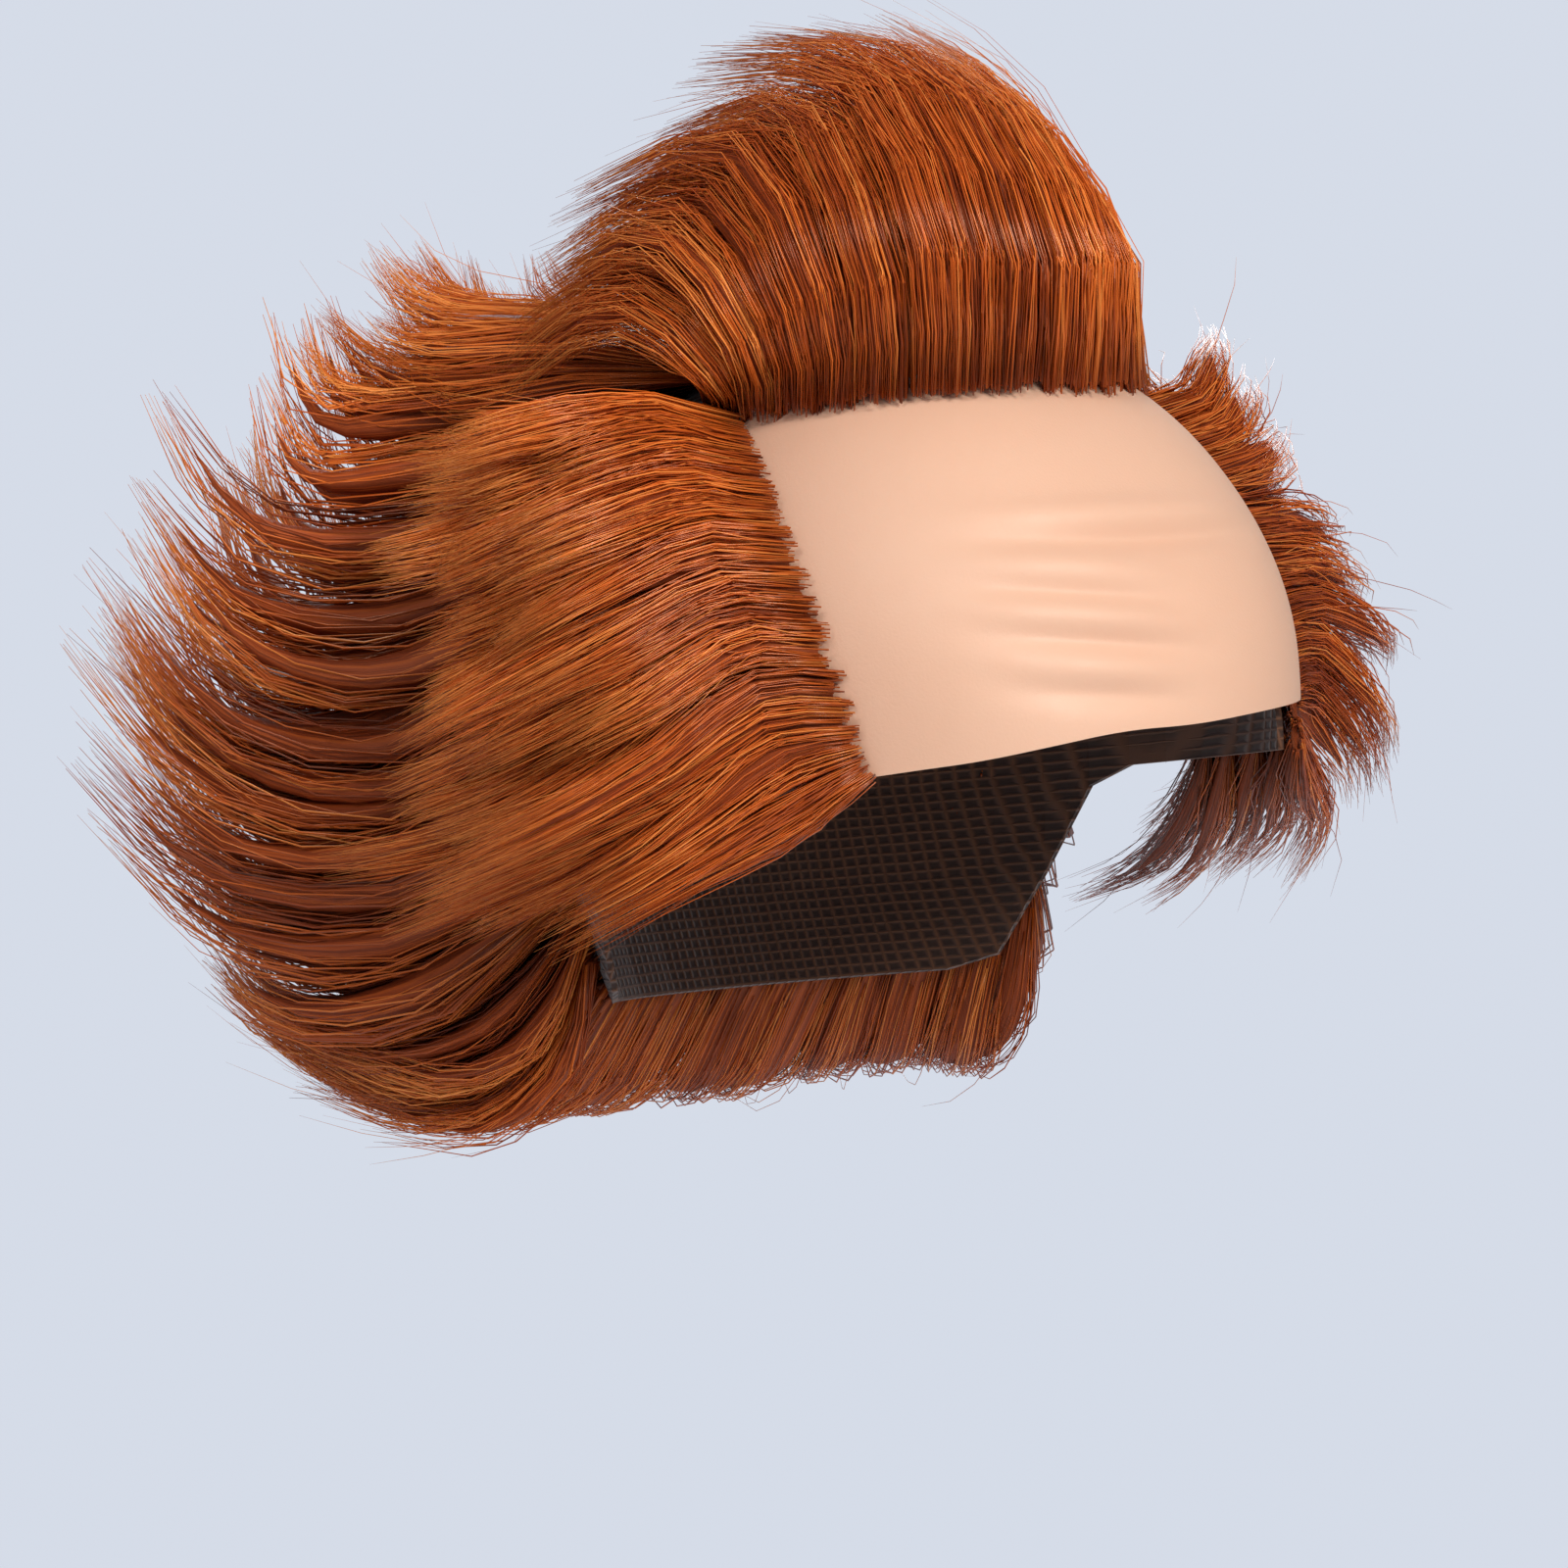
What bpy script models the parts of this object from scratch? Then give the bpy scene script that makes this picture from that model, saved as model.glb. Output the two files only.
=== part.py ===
"""Clown wig: a moulded bald forehead on a net cap, with a quiff, side tufts and flipped back hair.

The wig stands as a head of adult size fills it. The face looks towards -Y, up is +Z, and the
wearer's right is -X. The origin is the inside of the cap at the top of the crown, where a head
carries the wig. Lengths are metres and angles are degrees.
"""
import math
from collections import namedtuple

import bmesh
import bpy
from mathutils import Vector

# Head that the wig fits
HEAD_HALF_WIDTH = 0.079
HEAD_FRONT = 0.101
HEAD_BACK = 0.100
CROWN_RISE = 0.088
FRONT_ROUNDNESS = 2.4
BACK_ROUNDNESS = 2.1
NECK_TAPER = 0.215

# Edges of the wig, measured down from the crown
RIM_DEPTH = 0.111
NAPE_DEPTH = 0.160
EAR_AZIMUTH = 100.0
NAPE_AZIMUTH = 132.0

# Walls and clearances
CAP_WALL = 0.0015
FOREHEAD_WALL = 0.0015
BACKING_WALL = 0.0024
SEAT_GAP = 0.0011
EDGE_GAP = 0.0006
BACKING_LAP = 0.002

# Moulded forehead
BROW_BULGE = 0.007
FOREHEAD_TOP = 0.80
CREASE_DEPTH = 0.0011
CREASE_WIDTH = 0.0042

# Hair
HAIR_LENGTH = 0.100
LOCK_THICKNESS = 0.0095
QUIFF_THICKNESS = 0.0120
LOCK_LAP = 1.10
LOCK_SIDES = 6
LOCK_STEPS = 5

# Facets round the head, from the crown to the widest level and from there to the rim
AROUND = 34
ROWS_ABOVE = 6
ROWS_BELOW = 3

# Azimuth runs from the face, 0, through the wearer's right, 90, to the nape, 180.
# A height is a share of the rim depth: 0 at the front rim and 1 at the crown.
Edge = namedtuple("Edge", "height azimuth")
HAIRLINE = [
    Edge(0.00, 44.0),
    Edge(0.12, 47.0),
    Edge(0.28, 50.0),
    Edge(0.45, 54.0),
    Edge(0.64, 62.0),
    Edge(0.80, 75.0),
]

# Brow folds: places and half lengths are shares of the forehead's half width.
Crease = namedtuple("Crease", "height middle half_length depth arch")
CREASES = [
    Crease(0.45, -0.02, 0.62, 1.00, 0.020),
    Crease(0.34, -0.06, 0.50, 0.85, -0.015),
    Crease(0.25, 0.02, 0.54, 0.95, -0.012),
    Crease(0.15, -0.04, 0.46, 0.75, 0.012),
]

# Guide of a lock: its root on the head, then three points that it passes, as shares of the
# hair length out from the middle plane, back and up from that root.
Guide = namedtuple("Guide", "azimuth height out_1 back_1 up_1 out_2 back_2 up_2 out_3 back_3 up_3")
SIDE_FRONT = [
    Guide(74, 0.78, 0.28, 0.02, 0.04, 0.52, 0.05, 0.03, 0.70, 0.22, 0.00),
    Guide(62, 0.64, 0.23, 0.04, 0.02, 0.50, 0.08, -0.04, 0.68, 0.26, -0.12),
    Guide(54, 0.45, 0.22, 0.06, 0.00, 0.50, 0.12, -0.12, 0.70, 0.32, -0.26),
    Guide(50, 0.28, 0.19, 0.08, 0.01, 0.47, 0.15, -0.13, 0.74, 0.38, -0.26),
    Guide(47, 0.12, 0.15, 0.12, 0.00, 0.41, 0.26, -0.16, 0.70, 0.60, -0.32),
    Guide(44, 0.00, 0.12, 0.14, -0.05, 0.34, 0.39, -0.18, 0.58, 0.90, -0.42),
]
SIDE_REAR = [
    Guide(94, 0.80, 0.26, 0.12, 0.00, 0.44, 0.20, 0.00, 0.56, 0.30, 0.06),
    Guide(86, 0.62, 0.24, 0.10, 0.00, 0.42, 0.16, -0.04, 0.56, 0.26, -0.06),
    Guide(82, 0.44, 0.24, 0.10, -0.04, 0.42, 0.18, -0.12, 0.56, 0.30, -0.16),
    Guide(79, 0.27, 0.20, 0.12, -0.06, 0.40, 0.24, -0.14, 0.56, 0.38, -0.20),
    Guide(77, 0.12, 0.16, 0.18, -0.12, 0.36, 0.38, -0.22, 0.54, 0.60, -0.28),
    Guide(76, 0.02, 0.12, 0.22, -0.16, 0.32, 0.50, -0.30, 0.48, 0.82, -0.36),
]
BACK_SIDE = [
    Guide(104, 0.90, 0.36, 0.52, -0.06, 0.64, 0.74, -0.04, 0.72, 0.80, 0.20),
    Guide(106, 0.76, 0.36, 0.44, -0.12, 0.62, 0.64, -0.06, 0.70, 0.74, 0.20),
    Guide(109, 0.60, 0.36, 0.34, -0.20, 0.60, 0.60, -0.10, 0.68, 0.78, 0.18),
    Guide(112, 0.44, 0.38, 0.22, -0.28, 0.60, 0.58, -0.18, 0.68, 0.84, 0.20),
    Guide(115, 0.28, 0.38, 0.18, -0.24, 0.60, 0.62, -0.14, 0.69, 0.94, 0.28),
    Guide(118, 0.12, 0.36, 0.20, -0.20, 0.57, 0.66, -0.12, 0.68, 0.98, 0.24),
    Guide(120, -0.02, 0.32, 0.28, -0.18, 0.52, 0.74, -0.12, 0.62, 1.00, 0.14),
    Guide(122, -0.16, 0.27, 0.30, -0.22, 0.44, 0.70, -0.22, 0.55, 0.98, -0.06),
]
BACK_QUARTER = [
    Guide(134, 0.90, 0.24, 0.46, -0.04, 0.38, 0.70, -0.02, 0.42, 0.74, 0.20),
    Guide(136, 0.76, 0.24, 0.44, -0.10, 0.38, 0.72, -0.06, 0.44, 0.80, 0.18),
    Guide(138, 0.60, 0.24, 0.42, -0.16, 0.39, 0.76, -0.10, 0.45, 0.86, 0.16),
    Guide(140, 0.44, 0.24, 0.40, -0.20, 0.40, 0.78, -0.14, 0.46, 0.92, 0.16),
    Guide(142, 0.28, 0.22, 0.40, -0.20, 0.38, 0.80, -0.14, 0.44, 0.98, 0.16),
    Guide(144, 0.12, 0.20, 0.40, -0.22, 0.35, 0.80, -0.18, 0.41, 0.98, 0.10),
    Guide(145, -0.02, 0.19, 0.40, -0.24, 0.32, 0.80, -0.22, 0.38, 0.98, 0.04),
    Guide(146, -0.16, 0.18, 0.40, -0.26, 0.29, 0.80, -0.28, 0.35, 0.96, -0.08),
]
BACK_MIDDLE = [
    Guide(180, 0.90, 0.00, 0.42, -0.04, 0.00, 0.62, -0.02, 0.00, 0.66, 0.20),
    Guide(180, 0.76, 0.00, 0.40, -0.10, 0.00, 0.64, -0.06, 0.00, 0.70, 0.18),
    Guide(180, 0.60, 0.00, 0.38, -0.14, 0.00, 0.66, -0.10, 0.00, 0.74, 0.16),
    Guide(180, 0.44, 0.00, 0.36, -0.18, 0.00, 0.66, -0.14, 0.00, 0.78, 0.16),
    Guide(180, 0.28, 0.00, 0.36, -0.20, 0.00, 0.68, -0.16, 0.00, 0.80, 0.12),
    Guide(180, 0.12, 0.00, 0.36, -0.22, 0.00, 0.68, -0.20, 0.00, 0.82, 0.08),
    Guide(180, -0.02, 0.00, 0.36, -0.24, 0.00, 0.68, -0.24, 0.00, 0.82, 0.02),
    Guide(180, -0.16, 0.00, 0.34, -0.26, 0.00, 0.66, -0.30, 0.00, 0.80, -0.08),
]
NAPE = [
    Guide(122, -0.30, 0.00, 0.08, -0.26, 0.04, 0.26, -0.44, 0.12, 0.50, -0.50),
    Guide(131, -0.36, 0.06, 0.20, -0.28, 0.20, 0.48, -0.38, 0.34, 0.82, -0.26),
    Guide(143, -0.40, 0.09, 0.28, -0.26, 0.24, 0.62, -0.30, 0.42, 0.98, -0.06),
    Guide(160, -0.42, 0.04, 0.30, -0.26, 0.12, 0.60, -0.32, 0.20, 0.86, -0.12),
    Guide(180, -0.42, 0.00, 0.30, -0.26, 0.00, 0.56, -0.32, 0.00, 0.76, -0.14),
]
CROWN = [
    Guide(84, 0.94, 0.26, 0.34, 0.00, 0.48, 0.74, 0.02, 0.54, 0.94, 0.26),
    Guide(98, 0.97, 0.22, 0.58, 0.03, 0.38, 0.92, 0.05, 0.42, 1.04, 0.31),
    Guide(130, 0.98, 0.12, 0.66, 0.04, 0.20, 1.02, 0.06, 0.22, 1.14, 0.32),
    Guide(180, 0.98, 0.00, 0.66, 0.06, 0.00, 1.00, 0.08, 0.00, 1.12, 0.34),
]
QUIFF = [
    Guide(66, 0.83, 0.13, -0.12, 0.17, 0.13, 0.20, 0.39, 0.22, 0.64, 0.22),
    Guide(48, 0.84, 0.10, -0.12, 0.23, 0.06, 0.18, 0.56, 0.16, 0.70, 0.47),
    Guide(24, 0.84, 0.08, -0.13, 0.28, 0.02, 0.19, 0.67, 0.06, 0.77, 0.78),
    Guide(2, 0.84, 0.07, -0.14, 0.28, -0.01, 0.18, 0.70, -0.02, 0.75, 0.92),
    Guide(-20, 0.84, 0.06, -0.13, 0.26, -0.02, 0.17, 0.65, -0.03, 0.67, 0.94),
    Guide(-42, 0.84, 0.03, -0.13, 0.23, -0.10, 0.15, 0.56, -0.14, 0.57, 0.87),
    Guide(-62, 0.83, 0.00, -0.12, 0.19, -0.18, 0.15, 0.46, -0.28, 0.51, 0.77),
]
QUIFF_REAR = [
    Guide(58, 0.88, 0.10, -0.04, 0.16, 0.14, 0.22, 0.30, 0.20, 0.56, 0.24),
    Guide(30, 0.89, 0.06, -0.06, 0.24, 0.06, 0.20, 0.50, 0.12, 0.62, 0.50),
    Guide(0, 0.89, 0.04, -0.06, 0.26, 0.01, 0.20, 0.56, 0.01, 0.64, 0.66),
    Guide(-30, 0.89, 0.02, -0.06, 0.24, -0.05, 0.18, 0.50, -0.07, 0.56, 0.64),
    Guide(-56, 0.88, 0.00, -0.04, 0.16, -0.15, 0.18, 0.36, -0.23, 0.46, 0.56),
]

# Colours as linear RGB, roughness and metallic value
Finish = namedtuple("Finish", "colour roughness metallic")
VINYL = Finish((0.88, 0.56, 0.40), 0.42, 0.0)
NET = Finish((0.10, 0.035, 0.012), 0.85, 0.0)
HAIR = Finish((0.42, 0.085, 0.012), 0.40, 0.0)
HAIR_DEEP = Finish((0.30, 0.055, 0.010), 0.45, 0.0)


def clear_scene():
    """Remove every object that is already in the file."""
    for item in list(bpy.data.objects):
        bpy.data.objects.remove(item, do_unlink=True)


def make_collection(name):
    """Link a new collection to the scene."""
    group = bpy.data.collections.new(name)
    bpy.context.scene.collection.children.link(group)
    return group


def make_material(name, finish):
    """Give a Principled BSDF the colour, roughness and metallic value of a finish."""
    material = bpy.data.materials.new(name)
    material.use_nodes = True
    shader = material.node_tree.nodes["Principled BSDF"]
    shader.inputs["Base Color"].default_value = (*finish.colour, 1.0)
    shader.inputs["Roughness"].default_value = finish.roughness
    shader.inputs["Metallic"].default_value = finish.metallic
    return material


def make_object(name, mesh_builder, group):
    """Make a mesh object from a bmesh and link it to a collection."""
    mesh = bpy.data.meshes.new(name)
    mesh_builder.to_mesh(mesh)
    mesh_builder.free()
    item = bpy.data.objects.new(name, mesh)
    group.objects.link(item)
    return item


def depth_at(height):
    """Place of a height share above or below the crown."""
    return -RIM_DEPTH * (1.0 - height)


def head_point(azimuth, z, lift=0.0):
    """Point of the head, or of a skin that stands off from it by a lift."""
    level = z + CROWN_RISE
    if level > 0.0:
        share = math.sqrt(max(0.0, 1.0 - (level / (CROWN_RISE + lift)) ** 2))
    else:
        share = 1.0 - NECK_TAPER * (level / CROWN_RISE) ** 2
    across = math.sin(math.radians(azimuth))
    ahead = math.cos(math.radians(azimuth))
    roundness = FRONT_ROUNDNESS if ahead > 0.0 else BACK_ROUNDNESS
    length = (HEAD_FRONT if ahead > 0.0 else HEAD_BACK) + lift
    spread = abs(across / (HEAD_HALF_WIDTH + lift)) ** roundness + abs(ahead / length) ** roundness
    radius = share * spread ** (-1.0 / roundness)
    return Vector((-radius * across, -radius * ahead, z))


def head_normal(azimuth, z):
    """Direction that points straight out of the head."""
    step = 0.5
    drop = 0.001
    level = min(z, -0.004)
    along = head_point(azimuth + step, level) - head_point(azimuth - step, level)
    upward = head_point(azimuth, level + drop) - head_point(azimuth, level - drop)
    normal = upward.cross(along)
    return normal.normalized()


def hairline_azimuth(height):
    """Azimuth of the forehead's side edge at a height share."""
    for low, high in zip(HAIRLINE, HAIRLINE[1:]):
        if height <= high.height or high is HAIRLINE[-1]:
            share = (height - low.height) / (high.height - low.height)
            return low.azimuth + share * (high.azimuth - low.azimuth)
    return HAIRLINE[-1].azimuth


def smooth_share(value, low, high):
    """Ease a value from 0 at low to 1 at high."""
    share = min(1.0, max(0.0, (value - low) / (high - low)))
    return share * share * (3.0 - 2.0 * share)


def rim_depth(azimuth):
    """Depth of the cap's lower edge, which drops from the ear to the nape."""
    turned = abs((azimuth + 180.0) % 360.0 - 180.0)
    return RIM_DEPTH + (NAPE_DEPTH - RIM_DEPTH) * smooth_share(turned, EAR_AZIMUTH, NAPE_AZIMUTH)


def dome_sheet(lift):
    """Open dome over the head, from the upper half of a sphere."""
    builder = bmesh.new()
    rows = ROWS_ABOVE + ROWS_BELOW
    bmesh.ops.create_uvsphere(builder, u_segments=AROUND, v_segments=2 * rows, radius=1.0)
    lower = [vert for vert in builder.verts if vert.co.z < -0.5 / rows]
    bmesh.ops.delete(builder, geom=lower, context="VERTS")
    for vert in builder.verts:
        azimuth = math.degrees(math.atan2(-vert.co.x, -vert.co.y))
        row = rows * math.acos(min(1.0, max(-1.0, vert.co.z))) / math.radians(90.0)
        if row <= ROWS_ABOVE:
            z = (CROWN_RISE + lift) * math.cos(math.radians(90.0) * row / ROWS_ABOVE) - CROWN_RISE
        else:
            z = -CROWN_RISE - (rim_depth(azimuth) - CROWN_RISE) * (row - ROWS_ABOVE) / ROWS_BELOW
        vert.co = head_point(azimuth, z, lift)
    bmesh.ops.recalc_face_normals(builder, faces=builder.faces)
    return builder


def add_wall(item, thickness, offset=1.0):
    """Give an open sheet its wall, on the outer side unless the offset says otherwise."""
    wall = item.modifiers.new("wall", "SOLIDIFY")
    wall.thickness = thickness
    wall.offset = offset
    wall.use_even_offset = True
    return wall


def grid_sheet(columns, rows, place):
    """Grid primitive whose corners go where the place function puts each (across, up) share."""
    builder = bmesh.new()
    bmesh.ops.create_grid(builder, x_segments=columns, y_segments=rows, size=1.0)
    for vert in builder.verts:
        vert.co = place((vert.co.x + 1.0) / 2.0, (vert.co.y + 1.0) / 2.0)
    return builder


def face_outwards(builder):
    """Turn an open sheet so that its faces look away from the head's middle."""
    builder.normal_update()
    middle = Vector((0.0, 0.0, -CROWN_RISE))
    outward = sum(face.normal.dot(face.calc_center_median() - middle) for face in builder.faces)
    if outward < 0.0:
        bmesh.ops.reverse_faces(builder, faces=builder.faces)


def crease_depth(across, height):
    """Depth of the brow folds at a place on the forehead."""
    depth = 0.0
    for crease in CREASES:
        reach = (across - crease.middle) / crease.half_length
        if abs(reach) >= 1.0:
            continue
        fade = (1.0 - reach * reach) ** 2
        away = (height - crease.height - crease.arch * reach * reach) * RIM_DEPTH / CREASE_WIDTH
        depth += crease.depth * fade * (math.exp(-away * away) - 0.6 * math.exp(-(away - 1.7) ** 2))
    return CREASE_DEPTH * depth


def forehead_place(across, up):
    """Inner face of the moulded forehead, which stands proud over the brow."""
    side = 2.0 * across - 1.0
    height = FOREHEAD_TOP * up
    azimuth = -side * hairline_azimuth(height)
    middle = (1.0 - side * side) ** 2
    proud = BROW_BULGE * middle * (1.0 - smooth_share(height, 0.05, 0.62))
    normal = head_normal(azimuth, depth_at(height))
    point = head_point(azimuth, depth_at(height))
    return point + normal * (proud - crease_depth(side, height))


def window_place(across, up):
    """Outline of the forehead with the gap that the cap keeps to it."""
    side = 2.0 * across - 1.0
    height = (FOREHEAD_TOP + (EDGE_GAP + BACKING_LAP) / RIM_DEPTH) * up - BACKING_LAP / RIM_DEPTH
    margin = math.degrees(EDGE_GAP / HEAD_HALF_WIDTH)
    azimuth = -side * (hairline_azimuth(max(0.0, height)) + margin)
    return head_point(azimuth, depth_at(height))


def make_forehead(group):
    """Moulded vinyl wall with soft brow folds."""
    builder = grid_sheet(12, 20, forehead_place)
    face_outwards(builder)
    item = make_object("forehead_piece", builder, group)
    add_wall(item, FOREHEAD_WALL)
    return item


def make_cap(group, cutters):
    """Net cap over the crown, sides and nape, open where the forehead piece sits."""
    builder = dome_sheet(0.0)
    face_outwards(builder)
    item = make_object("wig_cap", builder, group)
    add_wall(item, CAP_WALL)
    cutter_builder = grid_sheet(16, 12, window_place)
    face_outwards(cutter_builder)
    cutter = make_object("forehead_window", cutter_builder, cutters)
    add_wall(cutter, 12.0 * CAP_WALL, 0.0)
    cutter.hide_render = True
    cutter.display_type = "WIRE"
    cut = item.modifiers.new("window", "BOOLEAN")
    cut.operation = "DIFFERENCE"
    cut.object = cutter
    return item


def smooth_path(points, share):
    """Point of an even Catmull-Rom curve at a share of its length."""
    spans = len(points) - 1
    place = min(max(share, 0.0), 1.0) * spans
    index = min(int(place), spans - 1)
    part = place - index
    here, after = points[index], points[index + 1]
    before = points[index - 1] if index > 0 else 2.0 * here - after
    later = points[index + 2] if index + 2 <= spans else 2.0 * after - here
    linear = (after - before) * part
    square = (2.0 * before - 5.0 * here + 4.0 * after - later) * part ** 2
    cube = (3.0 * here - before - 3.0 * after + later) * part ** 3
    return 0.5 * (2.0 * here + linear + square + cube)


def guide_between(guides, share):
    """Guide at a share of the way through a table of guides."""
    rows = [Vector(guide) for guide in guides]
    return Guide(*smooth_path(rows, share))


def mirrored(guides):
    """The same guides on the wearer's other side."""
    return [
        guide._replace(
            azimuth=-guide.azimuth, out_1=-guide.out_1, out_2=-guide.out_2, out_3=-guide.out_3
        )
        for guide in guides
    ]


def lock_point(guide, share):
    """Point of a lock's middle line, which starts inside the backing."""
    z = depth_at(guide.height)
    lift = CAP_WALL + SEAT_GAP + 0.5 * BACKING_WALL
    root = head_point(guide.azimuth, z) + head_normal(guide.azimuth, z) * lift
    points = [root]
    for out, back, up in (
        (guide.out_1, guide.back_1, guide.up_1),
        (guide.out_2, guide.back_2, guide.up_2),
        (guide.out_3, guide.back_3, guide.up_3),
    ):
        points.append(root + HAIR_LENGTH * Vector((-out, back, up)))
    return smooth_path(points, share)


def lock_taper(share):
    """Width of a lock along its length, from the root to a pointed tip."""
    return 1.0 - 0.92 * share ** 5


def lock_swell(share):
    """Thickness of a lock along its length: flat at the root, fullest past the middle."""
    return (0.20 + 0.80 * smooth_share(share, 0.0, 0.35)) * (1.0 - 0.90 * share ** 4)


def add_lock(guides, share, spacing, thickness, reach, group):
    """Closed flattened lock that follows the guides and laps over its neighbours."""
    builder = bmesh.new()
    middle = guide_between(guides, share)
    root_normal = head_normal(middle.azimuth, depth_at(middle.height))
    before = guide_between(guides, max(0.0, share - 0.5 * spacing))
    after = guide_between(guides, min(1.0, share + 0.5 * spacing))
    rings = []
    for step in range(LOCK_STEPS + 1):
        along = step / LOCK_STEPS
        place = reach * along
        centre = lock_point(middle, place)
        forward = lock_point(middle, min(1.0, place + 0.02)) - lock_point(middle, place - 0.02)
        across = lock_point(after, place) - lock_point(before, place)
        forward = root_normal if step == 0 else forward.normalized()
        half_width = 0.5 * LOCK_LAP * across.length * lock_taper(along)
        across = (across - forward * across.dot(forward)).normalized()
        normal = across.cross(forward)
        half_thickness = 0.5 * thickness * lock_swell(along)
        centre += root_normal * (half_thickness - 0.5 * thickness * lock_swell(0.0))
        ring = []
        for side in range(LOCK_SIDES):
            turn = math.tau * side / LOCK_SIDES
            offset = across * (half_width * math.cos(turn)) + normal * (half_thickness * math.sin(turn))
            ring.append(builder.verts.new(centre + offset))
        rings.append(ring)
    for lower, upper in zip(rings, rings[1:]):
        for side in range(LOCK_SIDES):
            turn = (side + 1) % LOCK_SIDES
            builder.faces.new((lower[side], lower[turn], upper[turn], upper[side]))
    builder.faces.new(rings[0])
    builder.faces.new(rings[-1])
    bmesh.ops.recalc_face_normals(builder, faces=builder.faces)
    return make_object("lock", builder, group)


def add_bank(guides, count, thickness, group, uneven=0.10):
    """Row of locks side by side, with every third one longer than the next."""
    spacing = 1.0 / count
    for index in range(count):
        reach = 1.0 - uneven * ((2 * index) % 3) / 2.0
        add_lock(guides, (index + 0.5) * spacing, spacing, thickness, reach, group)


def backing_sheet(columns, rows, edges, heights):
    """Strip of net over the cap between two azimuth edges and two height shares."""
    lift = CAP_WALL + SEAT_GAP

    def place(across, up):
        height = heights[0] + (heights[1] - heights[0]) * up
        low, high = edges(height)
        azimuth = low + (high - low) * across
        z = depth_at(height)
        return head_point(azimuth, z) + head_normal(azimuth, z) * lift

    builder = grid_sheet(columns, rows, place)
    face_outwards(builder)
    return builder


def keep_largest_skin(item):
    """Delete every skin but the outer one, so that no pocket is sealed inside the hair."""
    builder = bmesh.new()
    builder.from_mesh(item.data)
    unseen = set(builder.faces)
    skins = []
    while unseen:
        skin = set()
        edge_of_growth = [unseen.pop()]
        while edge_of_growth:
            face = edge_of_growth.pop()
            skin.add(face)
            for edge in face.edges:
                for other in edge.link_faces:
                    if other in unseen:
                        unseen.remove(other)
                        edge_of_growth.append(other)
        skins.append(skin)
    largest = max(skins, key=lambda skin: sum(face.calc_area() for face in skin))
    spare = [face for face in builder.faces if face not in largest]
    bmesh.ops.delete(builder, geom=spare, context="FACES")
    builder.to_mesh(item.data)
    builder.free()


def fuse_hair(name, backing, locks, group):
    """Fuse a backing and its locks into one closed body."""
    item = make_object(name, backing, group)
    add_wall(item, BACKING_WALL)
    for lock in locks.objects:
        fuse = item.modifiers.new(lock.name, "BOOLEAN")
        fuse.operation = "UNION"
        fuse.solver = "MANIFOLD"
        fuse.object = lock
    graph = bpy.context.evaluated_depsgraph_get()
    mesh = bpy.data.meshes.new_from_object(item.evaluated_get(graph))
    item.modifiers.clear()
    item.data = mesh
    keep_largest_skin(item)
    for lock in list(locks.objects):
        bpy.data.objects.remove(lock, do_unlink=True)
    bpy.data.collections.remove(locks)
    return item


def make_quiff(group):
    """Tall front tuft that rises from the top edge of the forehead and sweeps back."""
    locks = make_collection("quiff_locks")
    add_bank(QUIFF, 9, QUIFF_THICKNESS, locks, 0.06)
    add_bank(QUIFF_REAR, 5, QUIFF_THICKNESS, locks, 0.06)
    lap = BACKING_LAP / RIM_DEPTH
    backing = backing_sheet(14, 2, lambda height: (-68.0, 68.0), (FOREHEAD_TOP - lap, 0.91))
    return fuse_hair("quiff_hair", backing, locks, group)


def make_side(name, turn, group):
    """Side tuft that starts at the hairline and sweeps back over the ear."""
    locks = make_collection(name + "_locks")
    front = SIDE_FRONT if turn > 0 else mirrored(SIDE_FRONT)
    rear = SIDE_REAR if turn > 0 else mirrored(SIDE_REAR)
    add_bank(front, 6, LOCK_THICKNESS, locks)
    add_bank(rear, 4, LOCK_THICKNESS, locks)
    lap = math.degrees(BACKING_LAP / HEAD_HALF_WIDTH)

    def edges(height):
        return turn * (hairline_azimuth(max(0.0, height)) - lap), turn * 100.0

    backing = backing_sheet(6, 9, edges, (-0.01, 0.785))
    return fuse_hair(name, backing, locks, group)


def make_back(group):
    """Tiers of locks round the back of the head, with their tips flipped up."""
    locks = make_collection("back_locks")
    tiers = 4
    for tier in range(tiers):
        share = (tier + 0.5) / tiers
        side = guide_between(BACK_SIDE, share)
        quarter = guide_between(BACK_QUARTER, share)
        middle = guide_between(BACK_MIDDLE, share)
        row = [side, quarter, middle] + mirrored([quarter, side])
        row[3] = row[3]._replace(azimuth=row[3].azimuth + 360.0)
        row[4] = row[4]._replace(azimuth=row[4].azimuth + 360.0)
        add_bank(row, 7, LOCK_THICKNESS, locks)
    backing = backing_sheet(16, 9, lambda height: (101.5, 258.5), (-0.19, 0.905))
    return fuse_hair("back_hair", backing, locks, group)


def make_nape(group):
    """Lowest locks, which curl under behind the ears and over the nape."""
    locks = make_collection("nape_locks")
    other = [guide._replace(azimuth=guide.azimuth + 360.0) for guide in mirrored(NAPE[:-1])]
    add_bank(NAPE + other[::-1], 9, LOCK_THICKNESS, locks)
    backing = backing_sheet(12, 3, lambda height: (118.0, 242.0), (-0.43, -0.205))
    return fuse_hair("nape_hair", backing, locks, group)


def make_crown(group):
    """Hair behind the quiff, which lies back over the crown and flips up."""
    locks = make_collection("crown_locks")
    other = [guide._replace(azimuth=guide.azimuth + 360.0) for guide in mirrored(CROWN[:-1])]
    add_bank(CROWN + other[::-1], 8, LOCK_THICKNESS, locks)
    backing = backing_sheet(28, 2, lambda height: (0.0, 356.0), (0.92, 0.999))
    return fuse_hair("crown_hair", backing, locks, group)


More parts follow.
